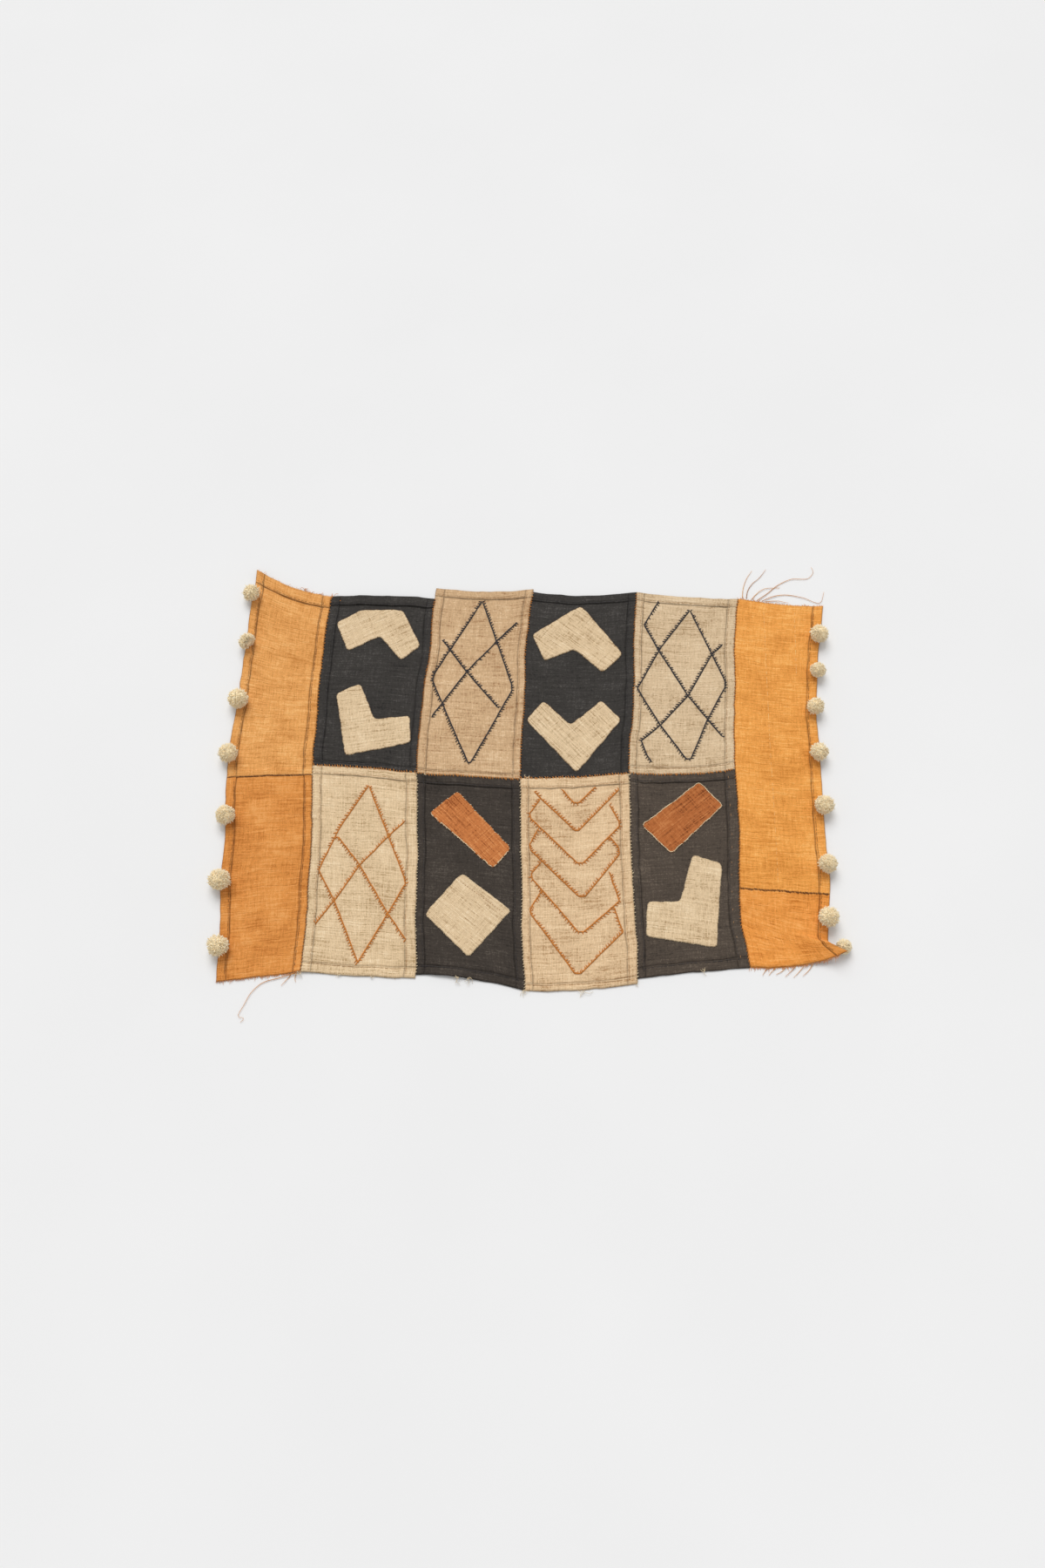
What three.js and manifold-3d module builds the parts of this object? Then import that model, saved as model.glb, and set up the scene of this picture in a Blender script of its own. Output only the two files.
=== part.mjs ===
import * as THREE from "three";
import Module from "manifold-3d";

// A kuba raffia cloth laid on a flat surface, in millimetres, +Z up, +Y towards its upper edge.
// Eight centre panels and four orange side strips are sewn edge to edge. Black panels carry
// applique patches, the side hems carry pompoms, and loose raffia ends lie at three raw edges.

const wasm = await Module();
wasm.setup();

// Thickness of one cloth, of a turned hem on top of it and of the thick rolled hems.
const CLOTH = 1.2;
const HEM_RISE = 1.2;
const ROLLED_RISE = 2.2;
const HEM_SLOPE = 1.2;
// Clearance between pieces that are sewn together.
const GAP = 0.3;

// Middle of the whole outline in the coordinates of the tables below.
const MIDDLE = { x: 10.5, y: 5 };

// The uneven upright lines: x of each line where it crosses these heights, top to bottom.
const HEIGHTS = [366, 280, 225, 170, 115, 60, -35, -95, -155, -215, -255, -310];
const UPRIGHTS = [
  [-421, -427.5, -430, -433.5, -437, -442, -441, -438, -438.5, -435, -434, -434],
  [-293, -305, -308.5, -311.5, -312, -314.5, -312, -310, -311, -310.5, -313, -315],
  [-131, -141.5, -142.5, -150, -154, -158, -156.5, -154, -153, -154, -151.5, -152],
  [22, 10, 4.5, 4, 1, -3, -3, -3, -1, -1, 0, 3],
  [184, 176, 172.5, 171.5, 168, 161, 159, 159, 160, 162, 164, 163],
  [348, 333.5, 327.5, 327, 322, 319.5, 319.5, 318.5, 315, 314, 319.5, 326],
  [483, 468.5, 459, 452.5, 448, 447, 446, 446, 446.5, 440, 438, 438],
];

// Heights of the cross lines in each of the six columns: at its left side, middle and right side.
const UPPER_EDGE = [
  [366, 335, 319], [320, 320.5, 316], [335, 328, 333],
  [328, 322, 328], [328, 319, 315.5], [316, 306, 302.5],
];
const CROSS_SEAM = [
  [9, 13, 14], [30, 25, 18], [17, 11.5, 7],
  [9, 10, 17], [17, 15, 23], [-165, -170, -174],
];
const LOWER_EDGE = [
  [-304, -297, -289], [-290, -296, -299], [-294, -300, -317],
  [-317, -316, -307], [-300, -290, -284], [-283, -281, -266],
];

const BLACK = 0x3e3b39;
const CREAM = 0xd6bc97;
const ORANGE = 0xe09a4c;
const RUST = 0xb4693a;

// One row per cloth: column, upper or lower row, hem widths, rise of the top hem, colour.
const CLOTHS = [
  { name: "side_left_upper", column: 0, upper: true, hems: { left: 13, right: 13, low: 10, top: 20 },
    topRise: ROLLED_RISE, colour: 0xdf9e59 },
  { name: "side_left_lower", column: 0, upper: false, hems: { left: 14, right: 12, low: 0, top: 0 },
    topRise: HEM_RISE, colour: 0xd78d45 },
  { name: "panel_upper_1", column: 1, upper: true, hems: { left: 14, right: 11, low: 8, top: 17 },
    topRise: ROLLED_RISE, colour: BLACK },
  { name: "panel_upper_2", column: 2, upper: true, hems: { left: 13, right: 11, low: 8, top: 14 },
    topRise: HEM_RISE, colour: 0xc6a67f },
  { name: "panel_upper_3", column: 3, upper: true, hems: { left: 0, right: 12, low: 0, top: 15 },
    topRise: HEM_RISE, colour: BLACK },
  { name: "panel_upper_4", column: 4, upper: true, hems: { left: 11, right: 14, low: 12, top: 14 },
    topRise: HEM_RISE, colour: 0xd0b693 },
  { name: "panel_lower_1", column: 1, upper: false, hems: { left: 13, right: 16, low: 15, top: 14 },
    topRise: HEM_RISE, colour: 0xd8bd97 },
  { name: "panel_lower_2", column: 2, upper: false, hems: { left: 11, right: 12, low: 14, top: 15 },
    topRise: HEM_RISE, colour: 0x47433f },
  { name: "panel_lower_3", column: 3, upper: false, hems: { left: 11, right: 14, low: 10, top: 16 },
    topRise: HEM_RISE, colour: 0xd6b790 },
  { name: "panel_lower_4", column: 4, upper: false, hems: { left: 11, right: 16, low: 15, top: 13 },
    topRise: HEM_RISE, colour: 0x534a42 },
  { name: "side_right_upper", column: 5, upper: true, hems: { left: 0, right: 15, low: 0, top: 0 },
    topRise: HEM_RISE, colour: 0xe69c4b },
];

// Applique patches: corners in order round each shape, all rounded alike.
const PATCH_THICK = 1.1;
const PATCH_CORNER = 5;
const PATCHES = [
  { name: "patch_upper_1_a", colour: CREAM, corners:
    [[-291, 273], [-250, 296], [-187, 295], [-158, 231], [-188, 206], [-221, 249], [-271, 222]] },
  { name: "patch_upper_1_b", colour: CREAM, corners:
    [[-285, 149], [-249, 167], [-225, 106], [-172, 112], [-168, 67], [-267, 45]] },
  { name: "patch_upper_3_a", colour: CREAM, corners:
    [[15, 252], [92, 303], [156, 217], [123, 185], [80, 226], [34, 205]] },
  { name: "patch_upper_3_b", colour: CREAM, corners:
    [[5, 105], [32, 138], [73, 96], [120, 138], [150, 105], [81, 17]] },
  { name: "patch_lower_2_a", colour: RUST, corners:
    [[-138, -48], [-97, -12], [-16, -104], [-43, -135]] },
  { name: "patch_lower_2_b", colour: CREAM, corners:
    [[-88, -141], [-16, -199], [-77, -269], [-141, -204]] },
  { name: "patch_lower_4_a", colour: RUST, corners:
    [[175, -67], [264, 3], [298, -36], [218, -112]] },
  { name: "patch_lower_4_b", colour: CREAM, corners:
    [[249, -113], [291, -127], [277, -255], [176, -238], [180, -186], [228, -185]] },
];

// Pompoms: the core as a share of the ball, the ball's flattening, and how far it settles.
const POMPOM_CORE = 0.72;
const POMPOM_SQUASH = 0.86;
const POMPOM_SETTLE = 0.92;
// Locks of raffia on each ball: half widths at the root and at the cut end of a middling ball's
// lock, how unevenly they are cut, and the shortest one, both as shares of the ball's radius.
const LOCKS = 17;
const LOCK_START = 2;
const LOCK_ROOT = 1.6;
const LOCK_TIP = 4.8;
const MIDDLING_BALL = 15;
const LOCK_UNEVEN = 0.09;
const LOCK_SHORTEST = 0.74;
// The lock that is sewn down: how far inside the cloth's edge, and its half width.
const TIE_INSET = 2;
const TIE_TIP = 2.88;
// Turn from one ball to the next, so that no two look alike.
const BALL_TURN = 1.7;
// Where each pompom is sewn on, x and y, and the radius of its ball.
const POMPOMS = {
  left: [
    [-424.5, 319.5, 13.5], [-425, 233, 13.5], [-432, 134.5, 16], [-440.5, 44, 15],
    [-437, -55.5, 15], [-438, -156.5, 16.5], [-432.5, -255.5, 16],
  ],
  right: [
    [459.5, 246.5, 14.5], [453, 184.5, 12.5], [444.5, 122.5, 13.5], [444, 46.5, 14],
    [445, -39.5, 15], [443.5, -131.5, 14.5], [438, -212.5, 15.5],
  ],
};
// The last one lies on the surface under the raised corner, tied up to the cloth over it.
const CORNER_POMPOM = { x: 457, y: -255, radius: 11.5, tie: { x: 455, y: -261 }, into: 0.25, turn: 2.3 };

// The lower right corner stands up in a ridge: steep behind, sloping gently to the lower edge.
const RIDGE = {
  start: { x: 385, y: -231 },
  tip: { x: 460, y: -264 },
  height: 24,
  behind: 7.5,
  front: 42,
};
// Right side of the lower right strip, from the cross seam to the raised corner.
const CURLED_SIDE = [
  [445, -174], [441, -205], [437, -240], [437, -246], [441, -255], [459, -266],
];
// Where the lines that follow the ridge meet the strip's left seam.
const CURLED_SEAM = [-165, -188, -201, -208, -216, -283];
// The strip's grid: shares of its width, and rows counted along the two lists above. Its hem
// takes the width past a share of it, as far down as a row.
const CURLED_ACROSS = [0, 0.25, 0.42, 0.5, 0.58, 0.66, 0.75, 0.83, 0.91, 0.92, 1];
const CURLED_ROWS = [0, 1, 2, 3, 4, 4.3, 4.6, 5];
const CURLED_HEM = { from: 0.915, lastRow: 2 };

// Places where the cloth's edge stands off the surface: centre, height and reach each way.
const LIFTS = [
  { x: -100, y: -297, height: 3, along: 62, inward: 13 },
  { x: -314, y: -291, height: 2, along: 34, inward: 20 },
  { x: -421, y: 366, height: 4, along: 55, inward: 21 },
];

const mix = (a, b, t) => a + (b - a) * t;
const clamp = (t) => Math.min(1, Math.max(0, t));
const smooth = (t) => clamp(t) ** 2 * (3 - 2 * clamp(t));

// Straight pieces between the listed values, carried on past both ends.
function lookUp(stops, values, at) {
  let k = 0;
  while (k < stops.length - 2 && at < stops[k + 1]) k += 1;
  return mix(values[k], values[k + 1], (at - stops[k]) / (stops[k + 1] - stops[k]));
}

const uprightX = (line, y) => lookUp(HEIGHTS, UPRIGHTS[line], y);

// A cross line through its three heights, straight between quarter points.
function crossY([left, middle, right], u) {
  const bend = (t) => left * (1 - t) * (1 - 2 * t) + 4 * middle * t * (1 - t) + right * t * (2 * t - 1);
  const from = Math.min(3, Math.floor(u * 4)) / 4;
  return mix(bend(from), bend(from + 0.25), (u - from) * 4);
}

// Height of the cloth's underside above the surface.
function lift(x, y) {
  let z = 0;
  for (const edge of LIFTS) {
    const along = 1 - smooth(Math.abs(x - edge.x) / edge.along);
    const inward = 1 - smooth(Math.abs(y - edge.y) / edge.inward);
    z = Math.max(z, edge.height * along * inward);
  }
  const run = { x: RIDGE.tip.x - RIDGE.start.x, y: RIDGE.tip.y - RIDGE.start.y };
  const length = Math.hypot(run.x, run.y);
  const dx = x - RIDGE.start.x;
  const dy = y - RIDGE.start.y;
  const along = (dx * run.x + dy * run.y) / length ** 2;
  const across = (dy * run.x - dx * run.y) / length;
  const crest = RIDGE.height * clamp(along) ** 1.3;
  const fall = across > 0 ? across / RIDGE.behind : -across / RIDGE.front;
  return Math.max(z, crest * clamp(1 - fall));
}

// Height of one cloth: thicker where the slope is steep so that it stays as thick across.
function thickness(x, y) {
  const step = 1.5;
  const slopeX = (lift(x + step, y) - lift(x - step, y)) / (2 * step);
  const slopeY = (lift(x, y + step) - lift(x, y - step)) / (2 * step);
  return CLOTH * Math.hypot(1, slopeX, slopeY);
}

function geometryFrom(points, triangles) {
  const geometry = new THREE.BufferGeometry();
  geometry.setAttribute("position", new THREE.Float32BufferAttribute(points.flat(), 3));
  geometry.setIndex(triangles.flat());
  geometry.computeVertexNormals();
  return geometry;
}

// A sheet from a grid of plan points with an underside and a top height at each.
function sheetGeometry(grid) {
  const rows = grid.length;
  const columns = grid[0].length;
  const points = [];
  const triangles = [];
  for (const face of ["top", "under"]) {
    for (const row of grid) {
      for (const p of row) points.push([p.x, p.y, p[face]]);
    }
  }
  const top = (j, i) => j * columns + i;
  const under = (j, i) => rows * columns + top(j, i);
  for (let j = 0; j + 1 < rows; j += 1) {
    for (let i = 0; i + 1 < columns; i += 1) {
      const [a, b, c, d] = [[j, i], [j, i + 1], [j + 1, i + 1], [j + 1, i]];
      triangles.push([top(...a), top(...b), top(...c)], [top(...a), top(...c), top(...d)]);
      triangles.push([under(...a), under(...c), under(...b)], [under(...a), under(...d), under(...c)]);
    }
  }
  const rim = [];
  for (let i = 0; i + 1 < columns; i += 1) rim.push([0, i]);
  for (let j = 0; j + 1 < rows; j += 1) rim.push([j, columns - 1]);
  for (let i = columns - 1; i > 0; i -= 1) rim.push([rows - 1, i]);
  for (let j = rows - 1; j > 0; j -= 1) rim.push([j, 0]);
  rim.forEach((here, k) => {
    const next = rim[(k + 1) % rim.length];
    triangles.push([under(...here), under(...next), top(...next)]);
    triangles.push([under(...here), top(...next), top(...here)]);
  });
  return geometryFrom(points, triangles);
}

// Full rise on the hem, none beyond its slope.
const hemRise = (width, distance, rise) =>
  width > 0 ? rise * clamp((width - distance) / HEM_SLOPE) : 0;

// Stops across a cloth: hem lines at both ends and given stops between.
function stopsAcross(low, high, hemLow, hemHigh, between) {
  const stops = [low];
  if (hemLow > 0) stops.push(low + hemLow - HEM_SLOPE, low + hemLow);
  stops.push(...between);
  if (hemHigh > 0) stops.push(high - hemHigh, high - hemHigh + HEM_SLOPE);
  stops.push(high);
  return stops;
}

function clothGeometry(cloth) {
  const { column, upper, hems, topRise } = cloth;
  const lowLine = upper ? CROSS_SEAM[column] : LOWER_EDGE[column];
  const topLine = upper ? UPPER_EDGE[column] : CROSS_SEAM[column];
  const width = uprightX(column + 1, 0) - uprightX(column, 0);
  const across = stopsAcross(0, width, hems.left, hems.right, [0.25, 0.5, 0.75].map((u) => u * width));
  const inside = (y) => y > Math.max(lowLine[0], lowLine[2]) + 2 && y < Math.min(topLine[0], topLine[2]) - 2;
  const knees = HEIGHTS.filter(inside).reverse();
  const side = (line, low, top, shift) => stopsAcross(low + GAP / 2, top - GAP / 2, hems.low, hems.top, knees)
    .map((y) => ({ x: uprightX(line, y) + shift, y }));
  const left = side(column, lowLine[0], topLine[0], GAP / 2);
  const right = side(column + 1, lowLine[2], topLine[2], -GAP / 2);
  const grid = left.map((from, j) => {
    const to = right[j];
    const last = left.length - 1;
    const v = (from.y - left[0].y + to.y - right[0].y)
      / (left[last].y - left[0].y + right[last].y - right[0].y);
    return across.map((distance) => {
      const u = distance / width;
      const lowBow = crossY(lowLine, u) - mix(lowLine[0], lowLine[2], u);
      const topBow = crossY(topLine, u) - mix(topLine[0], topLine[2], u);
      const x = mix(from.x, to.x, u);
      const y = mix(from.y, to.y, u) + mix(lowBow, topBow, v);
      const fromLow = mix(from.y - left[0].y, to.y - right[0].y, u);
      const fromTop = mix(left[last].y - from.y, right[last].y - to.y, u);
      const rise = Math.max(
        hemRise(hems.left, distance, HEM_RISE), hemRise(hems.right, width - distance, HEM_RISE),
        hemRise(hems.low, fromLow, HEM_RISE), hemRise(hems.top, fromTop, topRise));
      const under = lift(x, y);
      return { x, y, under, top: under + thickness(x, y) + rise };
    });
  });
  return sheetGeometry(grid);
}

// The strip with the raised corner: its cross lines run along the ridge.
function curledGeometry() {
  const crossLine = CROSS_SEAM[5];
  const lowLine = LOWER_EDGE[5];
  const last = CURLED_SIDE.length - 1;
  const index = (list, k) => mix(list[Math.floor(k)], list[Math.min(last, Math.floor(k) + 1)], k % 1);
  const sideX = CURLED_SIDE.map((p) => p[0]);
  const sideY = CURLED_SIDE.map((p) => p[1]);
  const grid = CURLED_ROWS.map((k) => {
    const inset = k === 0 ? -GAP / 2 : 0;
    const fromY = index(CURLED_SEAM, k) + inset;
    const toY = index(sideY, k) + inset;
    const v = clamp((k - CURLED_HEM.lastRow) / (last - CURLED_HEM.lastRow));
    return CURLED_ACROSS.map((u) => {
      const topBow = crossY(crossLine, u) - mix(crossLine[0], crossLine[2], u);
      const lowBow = crossY(lowLine, u) - mix(lowLine[0], lowLine[2], u);
      const x = mix(uprightX(5, fromY) + GAP / 2, index(sideX, k), u);
      const y = mix(fromY, toY, u) + mix(topBow * (1 - clamp(k)), lowBow, v);
      const rise = u > CURLED_HEM.from && k <= CURLED_HEM.lastRow ? HEM_RISE : 0;
      const under = lift(x, y);
      return { x, y, under, top: under + thickness(x, y) + rise };
    });
  });
  return sheetGeometry(grid.reverse());
}

// Corners turned into short arcs.
function roundedShape(corners, radius) {
  const shape = new THREE.Shape();
  corners.forEach((corner, k) => {
    const here = new THREE.Vector2(...corner);
    const before = new THREE.Vector2(...corners[(k + corners.length - 1) % corners.length]);
    const after = new THREE.Vector2(...corners[(k + 1) % corners.length]);
    const start = here.clone().add(before.sub(here).setLength(radius));
    const end = here.clone().add(after.sub(here).setLength(radius));
    if (k === 0) shape.moveTo(start.x, start.y);
    else shape.lineTo(start.x, start.y);
    shape.quadraticCurveTo(here.x, here.y, end.x, end.y);
  });
  shape.closePath();
  return shape;
}

function patchGeometry(patch) {
  const shape = roundedShape(patch.corners, PATCH_CORNER);
  const options = { depth: PATCH_THICK, bevelEnabled: false, curveSegments: 2 };
  return new THREE.ExtrudeGeometry(shape, options).translate(0, 0, CLOTH + GAP);
}

function solidFrom(points, triangles) {
  const mesh = new wasm.Mesh({
    numProp: 3,
    vertProperties: new Float32Array(points.flat()),
    triVerts: new Uint32Array(triangles.flat()),
  });
  return new wasm.Manifold(mesh);
}

function geometryOf(solid) {
  const mesh = solid.getMesh();
  const geometry = new THREE.BufferGeometry();
  geometry.setAttribute("position", new THREE.BufferAttribute(new Float32Array(mesh.vertProperties), 3));
  geometry.setIndex(new THREE.BufferAttribute(new Uint32Array(mesh.triVerts), 1));
  geometry.computeVertexNormals();
  return geometry;
}

// Three-sided lock of raffia, narrow at its root and wide at its cut end.
function lockSolid(centre, direction, reach, tip) {
  const helper = Math.abs(direction.z) < 0.9 ? new THREE.Vector3(0, 0, 1) : new THREE.Vector3(1, 0, 0);
  const sideways = helper.clone().cross(direction).normalize();
  const upward = direction.clone().cross(sideways);
  const points = [];
  for (const [distance, radius] of [[LOCK_START, LOCK_ROOT], [reach, tip]]) {
    for (let k = 0; k < 3; k += 1) {
      const angle = Math.PI / 2 + (k * 2 * Math.PI) / 3;
      const p = centre.clone().addScaledVector(direction, distance)
        .addScaledVector(sideways, radius * Math.cos(angle))
        .addScaledVector(upward, radius * Math.sin(angle));
      points.push(p.toArray());
    }
  }
  const triangles = [[0, 2, 1], [3, 4, 5], [0, 1, 4], [0, 4, 3], [1, 2, 5], [1, 5, 4], [2, 0, 3], [2, 3, 5]];
  return solidFrom(points, triangles);
}

function coreSolid(centre, radius) {
  const ball = new THREE.OctahedronGeometry(1, 0);
  const position = ball.getAttribute("position");
  const points = [];
  const triangles = [];
  const place = new Map();
  for (let k = 0; k < position.count; k += 1) {
    const p = new THREE.Vector3().fromBufferAttribute(position, k);
    const key = p.toArray().map((value) => value.toFixed(4)).join();
    if (!place.has(key)) {
      place.set(key, points.length);
      const high = p.z * radius * POMPOM_SQUASH;
      points.push([centre.x + p.x * radius, centre.y + p.y * radius, centre.z + high]);
    }
    if (k % 3 === 0) triangles.push([]);
    triangles[triangles.length - 1].push(place.get(key));
  }
  return solidFrom(points, triangles);
}

// Locks spread over a ball by the golden angle; those underneath stop short of the hem. The tie
// is the lock that comes down, or up, to the cloth it is sewn to.
function pompomGeometry(x, y, radius, bottom, turn, tie) {
  const centre = new THREE.Vector3(x, y, bottom + radius * POMPOM_SQUASH * POMPOM_SETTLE);
  let solid = coreSolid(centre, radius * POMPOM_CORE);
  const golden = Math.PI * (3 - Math.sqrt(5));
  for (let k = 0; k < LOCKS; k += 1) {
    const up = 1 - (2 * k + 1) / LOCKS;
    const flat = Math.sqrt(1 - up * up);
    const angle = k * golden + turn;
    const direction = new THREE.Vector3(flat * Math.cos(angle), flat * Math.sin(angle), up * POMPOM_SQUASH);
    direction.normalize();
    const uneven = 1 - LOCK_UNEVEN * ((k * 7) % 5) / 4;
    const tip = LOCK_TIP * radius / MIDDLING_BALL;
    let reach = radius * uneven * (1 - (1 - POMPOM_SQUASH) * Math.abs(up));
    const drop = centre.z - bottom - tip * Math.hypot(direction.x, direction.y);
    if (up < 0) reach = Math.min(reach, drop / -direction.z);
    if (reach > radius * LOCK_SHORTEST) solid = solid.add(lockSolid(centre, direction, reach, tip));
  }
  const root = new THREE.Vector3(tie.x, tie.y, centre.z);
  const toCloth = new THREE.Vector3(0, 0, Math.sign(tie.z - centre.z));
  return geometryOf(solid.add(lockSolid(root, toCloth, Math.abs(tie.z - centre.z), TIE_TIP)));
}

// A loose raffia end: a three-sided strand lying level along its route.
const STRAND_WIDE = 1.1;
const STRAND_HIGH = 0.9;
function strandSolid(route) {
  const points = [];
  const triangles = [];
  route.forEach((here, k) => {
    const before = route[Math.max(0, k - 1)];
    const after = route[Math.min(route.length - 1, k + 1)];
    const length = Math.hypot(after[0] - before[0], after[1] - before[1]);
    const across = [(before[1] - after[1]) / length, (after[0] - before[0]) / length];
    const half = STRAND_WIDE / 2;
    points.push([here[0] - across[0] * half, here[1] - across[1] * half, here[2]]);
    points.push([here[0] + across[0] * half, here[1] + across[1] * half, here[2]]);
    points.push([here[0], here[1], here[2] + STRAND_HIGH]);
    if (k === 0) return;
    const [a, b] = [3 * k - 3, 3 * k];
    for (const [m, n] of [[0, 1], [1, 2], [2, 0]]) {
      triangles.push([a + n, b + m, a + m], [a + n, b + n, b + m]);
    }
  });
  const end = points.length - 3;
  triangles.push([0, 2, 1], [end, end + 1, end + 2]);
  return solidFrom(points, triangles);
}

// Narrow strip along a raw edge, clear of the cloth, that holds the loose ends together.
const STRIP_WIDE = 2.2;
const STRIP_HIGH = 1.1;
const ROOT_RAISE = 0.1;
function stripSolid(route, outward) {
  const points = [];
  const triangles = [];
  const sign = outward > 0 ? 1 : -1;
  route.forEach(([x, y, z], k) => {
    const near = y + sign * GAP;
    const far = near + sign * STRIP_WIDE;
    const [low, high] = [Math.min(near, far), Math.max(near, far)];
    points.push([x, low, z], [x, high, z], [x, high, z + STRIP_HIGH], [x, low, z + STRIP_HIGH]);
    if (k === 0) return;
    const [a, b] = [4 * k - 4, 4 * k];
    for (let m = 0; m < 4; m += 1) {
      const n = (m + 1) % 4;
      triangles.push([a + m, b + n, b + m], [a + m, a + n, b + n]);
    }
  });
  const end = points.length - 4;
  triangles.push([0, 2, 1], [0, 3, 2], [end, end + 1, end + 2], [end, end + 2, end + 3]);
  return solidFrom(points, triangles);
}

// Each group: the edge it lies along, the strip's ends along it and the strands. A strand has the
// x of its root on the strip, then the points of its route over the surface.
const THREADS = [
  { name: "threads_upper_right", column: 5, edge: UPPER_EDGE, outward: 1, strip: [0.03, 0.36], strands: [
    { root: 346, route: [[347, 328], [350, 341], [355, 353], [364, 367]] },
    { root: 352, route: [[355, 330], [363, 343], [374, 353], [386, 369]] },
    { root: 360, route: [[368, 324], [380, 333], [406, 336]] },
    { root: 368, route: [[384, 324], [404, 341], [424, 351], [455, 355], [461, 365], [458, 373]] },
    { root: 376, route: [[392, 319], [412, 323], [440, 318], [468, 309], [475, 328]] },
    { root: 382, route: [[398, 312], [418, 308]] },
  ] },
  { name: "threads_lower_left", column: 0, edge: LOWER_EDGE, outward: -1, strip: [0.74, 0.97], strands: [
    { root: -322, route: [[-346, -299], [-368, -306], [-381, -318], [-392, -339], [-398, -355],
      [-390, -357], [-395, -363]] },
    { root: -326, route: [[-336, -304], [-341, -310]] },
    { root: -320, route: [[-322, -298], [-321, -305]] },
  ] },
  { name: "threads_lower_right", column: 5, edge: LOWER_EDGE, outward: -1, strip: [0.17, 0.72],
    end: CURLED_SIDE[5][0], strands: [
    { root: 349, route: [[344, -289], [340, -295]] },
    { root: 360, route: [[354, -289], [349, -295]] },
    { root: 374, route: [[368, -289], [359, -294]] },
    { root: 388, route: [[382, -288], [372, -297]] },
    { root: 400, route: [[394, -288], [384, -298]] },
    { root: 412, route: [[406, -288], [397, -296]] },
  ] },
];

function threadsGeometry({ column, edge, outward, strip, end, strands }) {
  const line = edge[column];
  const start = uprightX(column, line[0]);
  const width = (end ?? uprightX(column + 1, line[2])) - start;
  const at = (x) => {
    const y = crossY(line, (x - start) / width);
    return [x, y, lift(x, y)];
  };
  const stops = [strip[0], ...[0.25, 0.5, 0.75].filter((u) => u > strip[0] && u < strip[1]), strip[1]];
  let solid = stripSolid(stops.map((u) => at(start + u * width)), outward);
  for (const { root, route } of strands) {
    const [x, y, z] = at(root);
    const laid = [[x, y + outward * (GAP + STRIP_WIDE / 2), z + ROOT_RAISE]];
    laid.push(...route.map((p) => [p[0], p[1], 0]));
    solid = solid.add(strandSolid(laid));
  }
  return geometryOf(solid);
}

const cloth = new THREE.Group();
cloth.name = "kuba_raffia_cloth";

function addPiece(name, geometry, colour) {
  geometry.translate(-MIDDLE.x, -MIDDLE.y, 0);
  const mesh = new THREE.Mesh(geometry, new THREE.MeshStandardMaterial({ color: colour, roughness: 0.85 }));
  mesh.name = name;
  cloth.add(mesh);
}

for (const row of CLOTHS) addPiece(row.name, clothGeometry(row), row.colour);
addPiece("side_right_lower", curledGeometry(), ORANGE);
for (const patch of PATCHES) addPiece(patch.name, patchGeometry(patch), patch.colour);
for (const [side, list] of Object.entries(POMPOMS)) {
  list.forEach(([x, y, radius], k) => {
    const bottom = CLOTH + HEM_RISE + GAP + lift(x, y);
    const tie = { x: x + (side === "left" ? TIE_INSET : -TIE_INSET), y, z: bottom };
    addPiece(`pompom_${side}_${k + 1}`, pompomGeometry(x, y, radius, bottom, k * BALL_TURN, tie), CREAM);
  });
}
const { x: cornerX, y: cornerY, radius: cornerRadius, tie: cornerTie, into, turn } = CORNER_POMPOM;
const underCorner = { ...cornerTie, z: lift(cornerTie.x, cornerTie.y) + into };
addPiece("pompom_right_8", pompomGeometry(cornerX, cornerY, cornerRadius, 0, turn, underCorner), CREAM);
for (const group of THREADS) addPiece(group.name, threadsGeometry(group), ORANGE);

export default cloth;
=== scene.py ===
"""Looks of a kuba raffia cloth that lies on a pale floor, seen from above.

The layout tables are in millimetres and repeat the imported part's own sizes. Every piece is built
in those millimetres and moved to the part's frame, in metres, when its mesh is made.
"""
import math

import bpy
import numpy as np
from mathutils.geometry import delaunay_2d_cdt
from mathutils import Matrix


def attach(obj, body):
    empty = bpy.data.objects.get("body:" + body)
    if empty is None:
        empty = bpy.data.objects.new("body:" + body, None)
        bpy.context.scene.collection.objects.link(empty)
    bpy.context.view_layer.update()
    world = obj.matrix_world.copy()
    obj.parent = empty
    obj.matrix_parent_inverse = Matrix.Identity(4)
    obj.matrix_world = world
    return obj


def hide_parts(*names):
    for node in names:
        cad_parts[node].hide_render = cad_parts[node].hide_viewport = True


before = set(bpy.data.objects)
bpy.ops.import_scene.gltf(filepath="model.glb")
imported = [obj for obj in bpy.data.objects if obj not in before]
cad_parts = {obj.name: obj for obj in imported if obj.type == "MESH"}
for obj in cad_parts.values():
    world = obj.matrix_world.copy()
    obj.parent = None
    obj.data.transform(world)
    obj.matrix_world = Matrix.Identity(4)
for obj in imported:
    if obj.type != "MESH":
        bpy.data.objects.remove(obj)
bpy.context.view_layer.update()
chance = np.random.default_rng(7)

# Metres to a millimetre, and the part's origin in the layout's millimetres.
MM = 0.001
MIDDLE = np.array([10.5, 5.0, 0.0])

# One unit of the weave coordinates, in millimetres.
WEAVE_UNIT = 100.0

# Cloth thickness, hem rise on top of it, and the rise of the thick rolled hems.
CLOTH = 1.2
HEM = 1.2
ROLLED = 2.2

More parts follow.
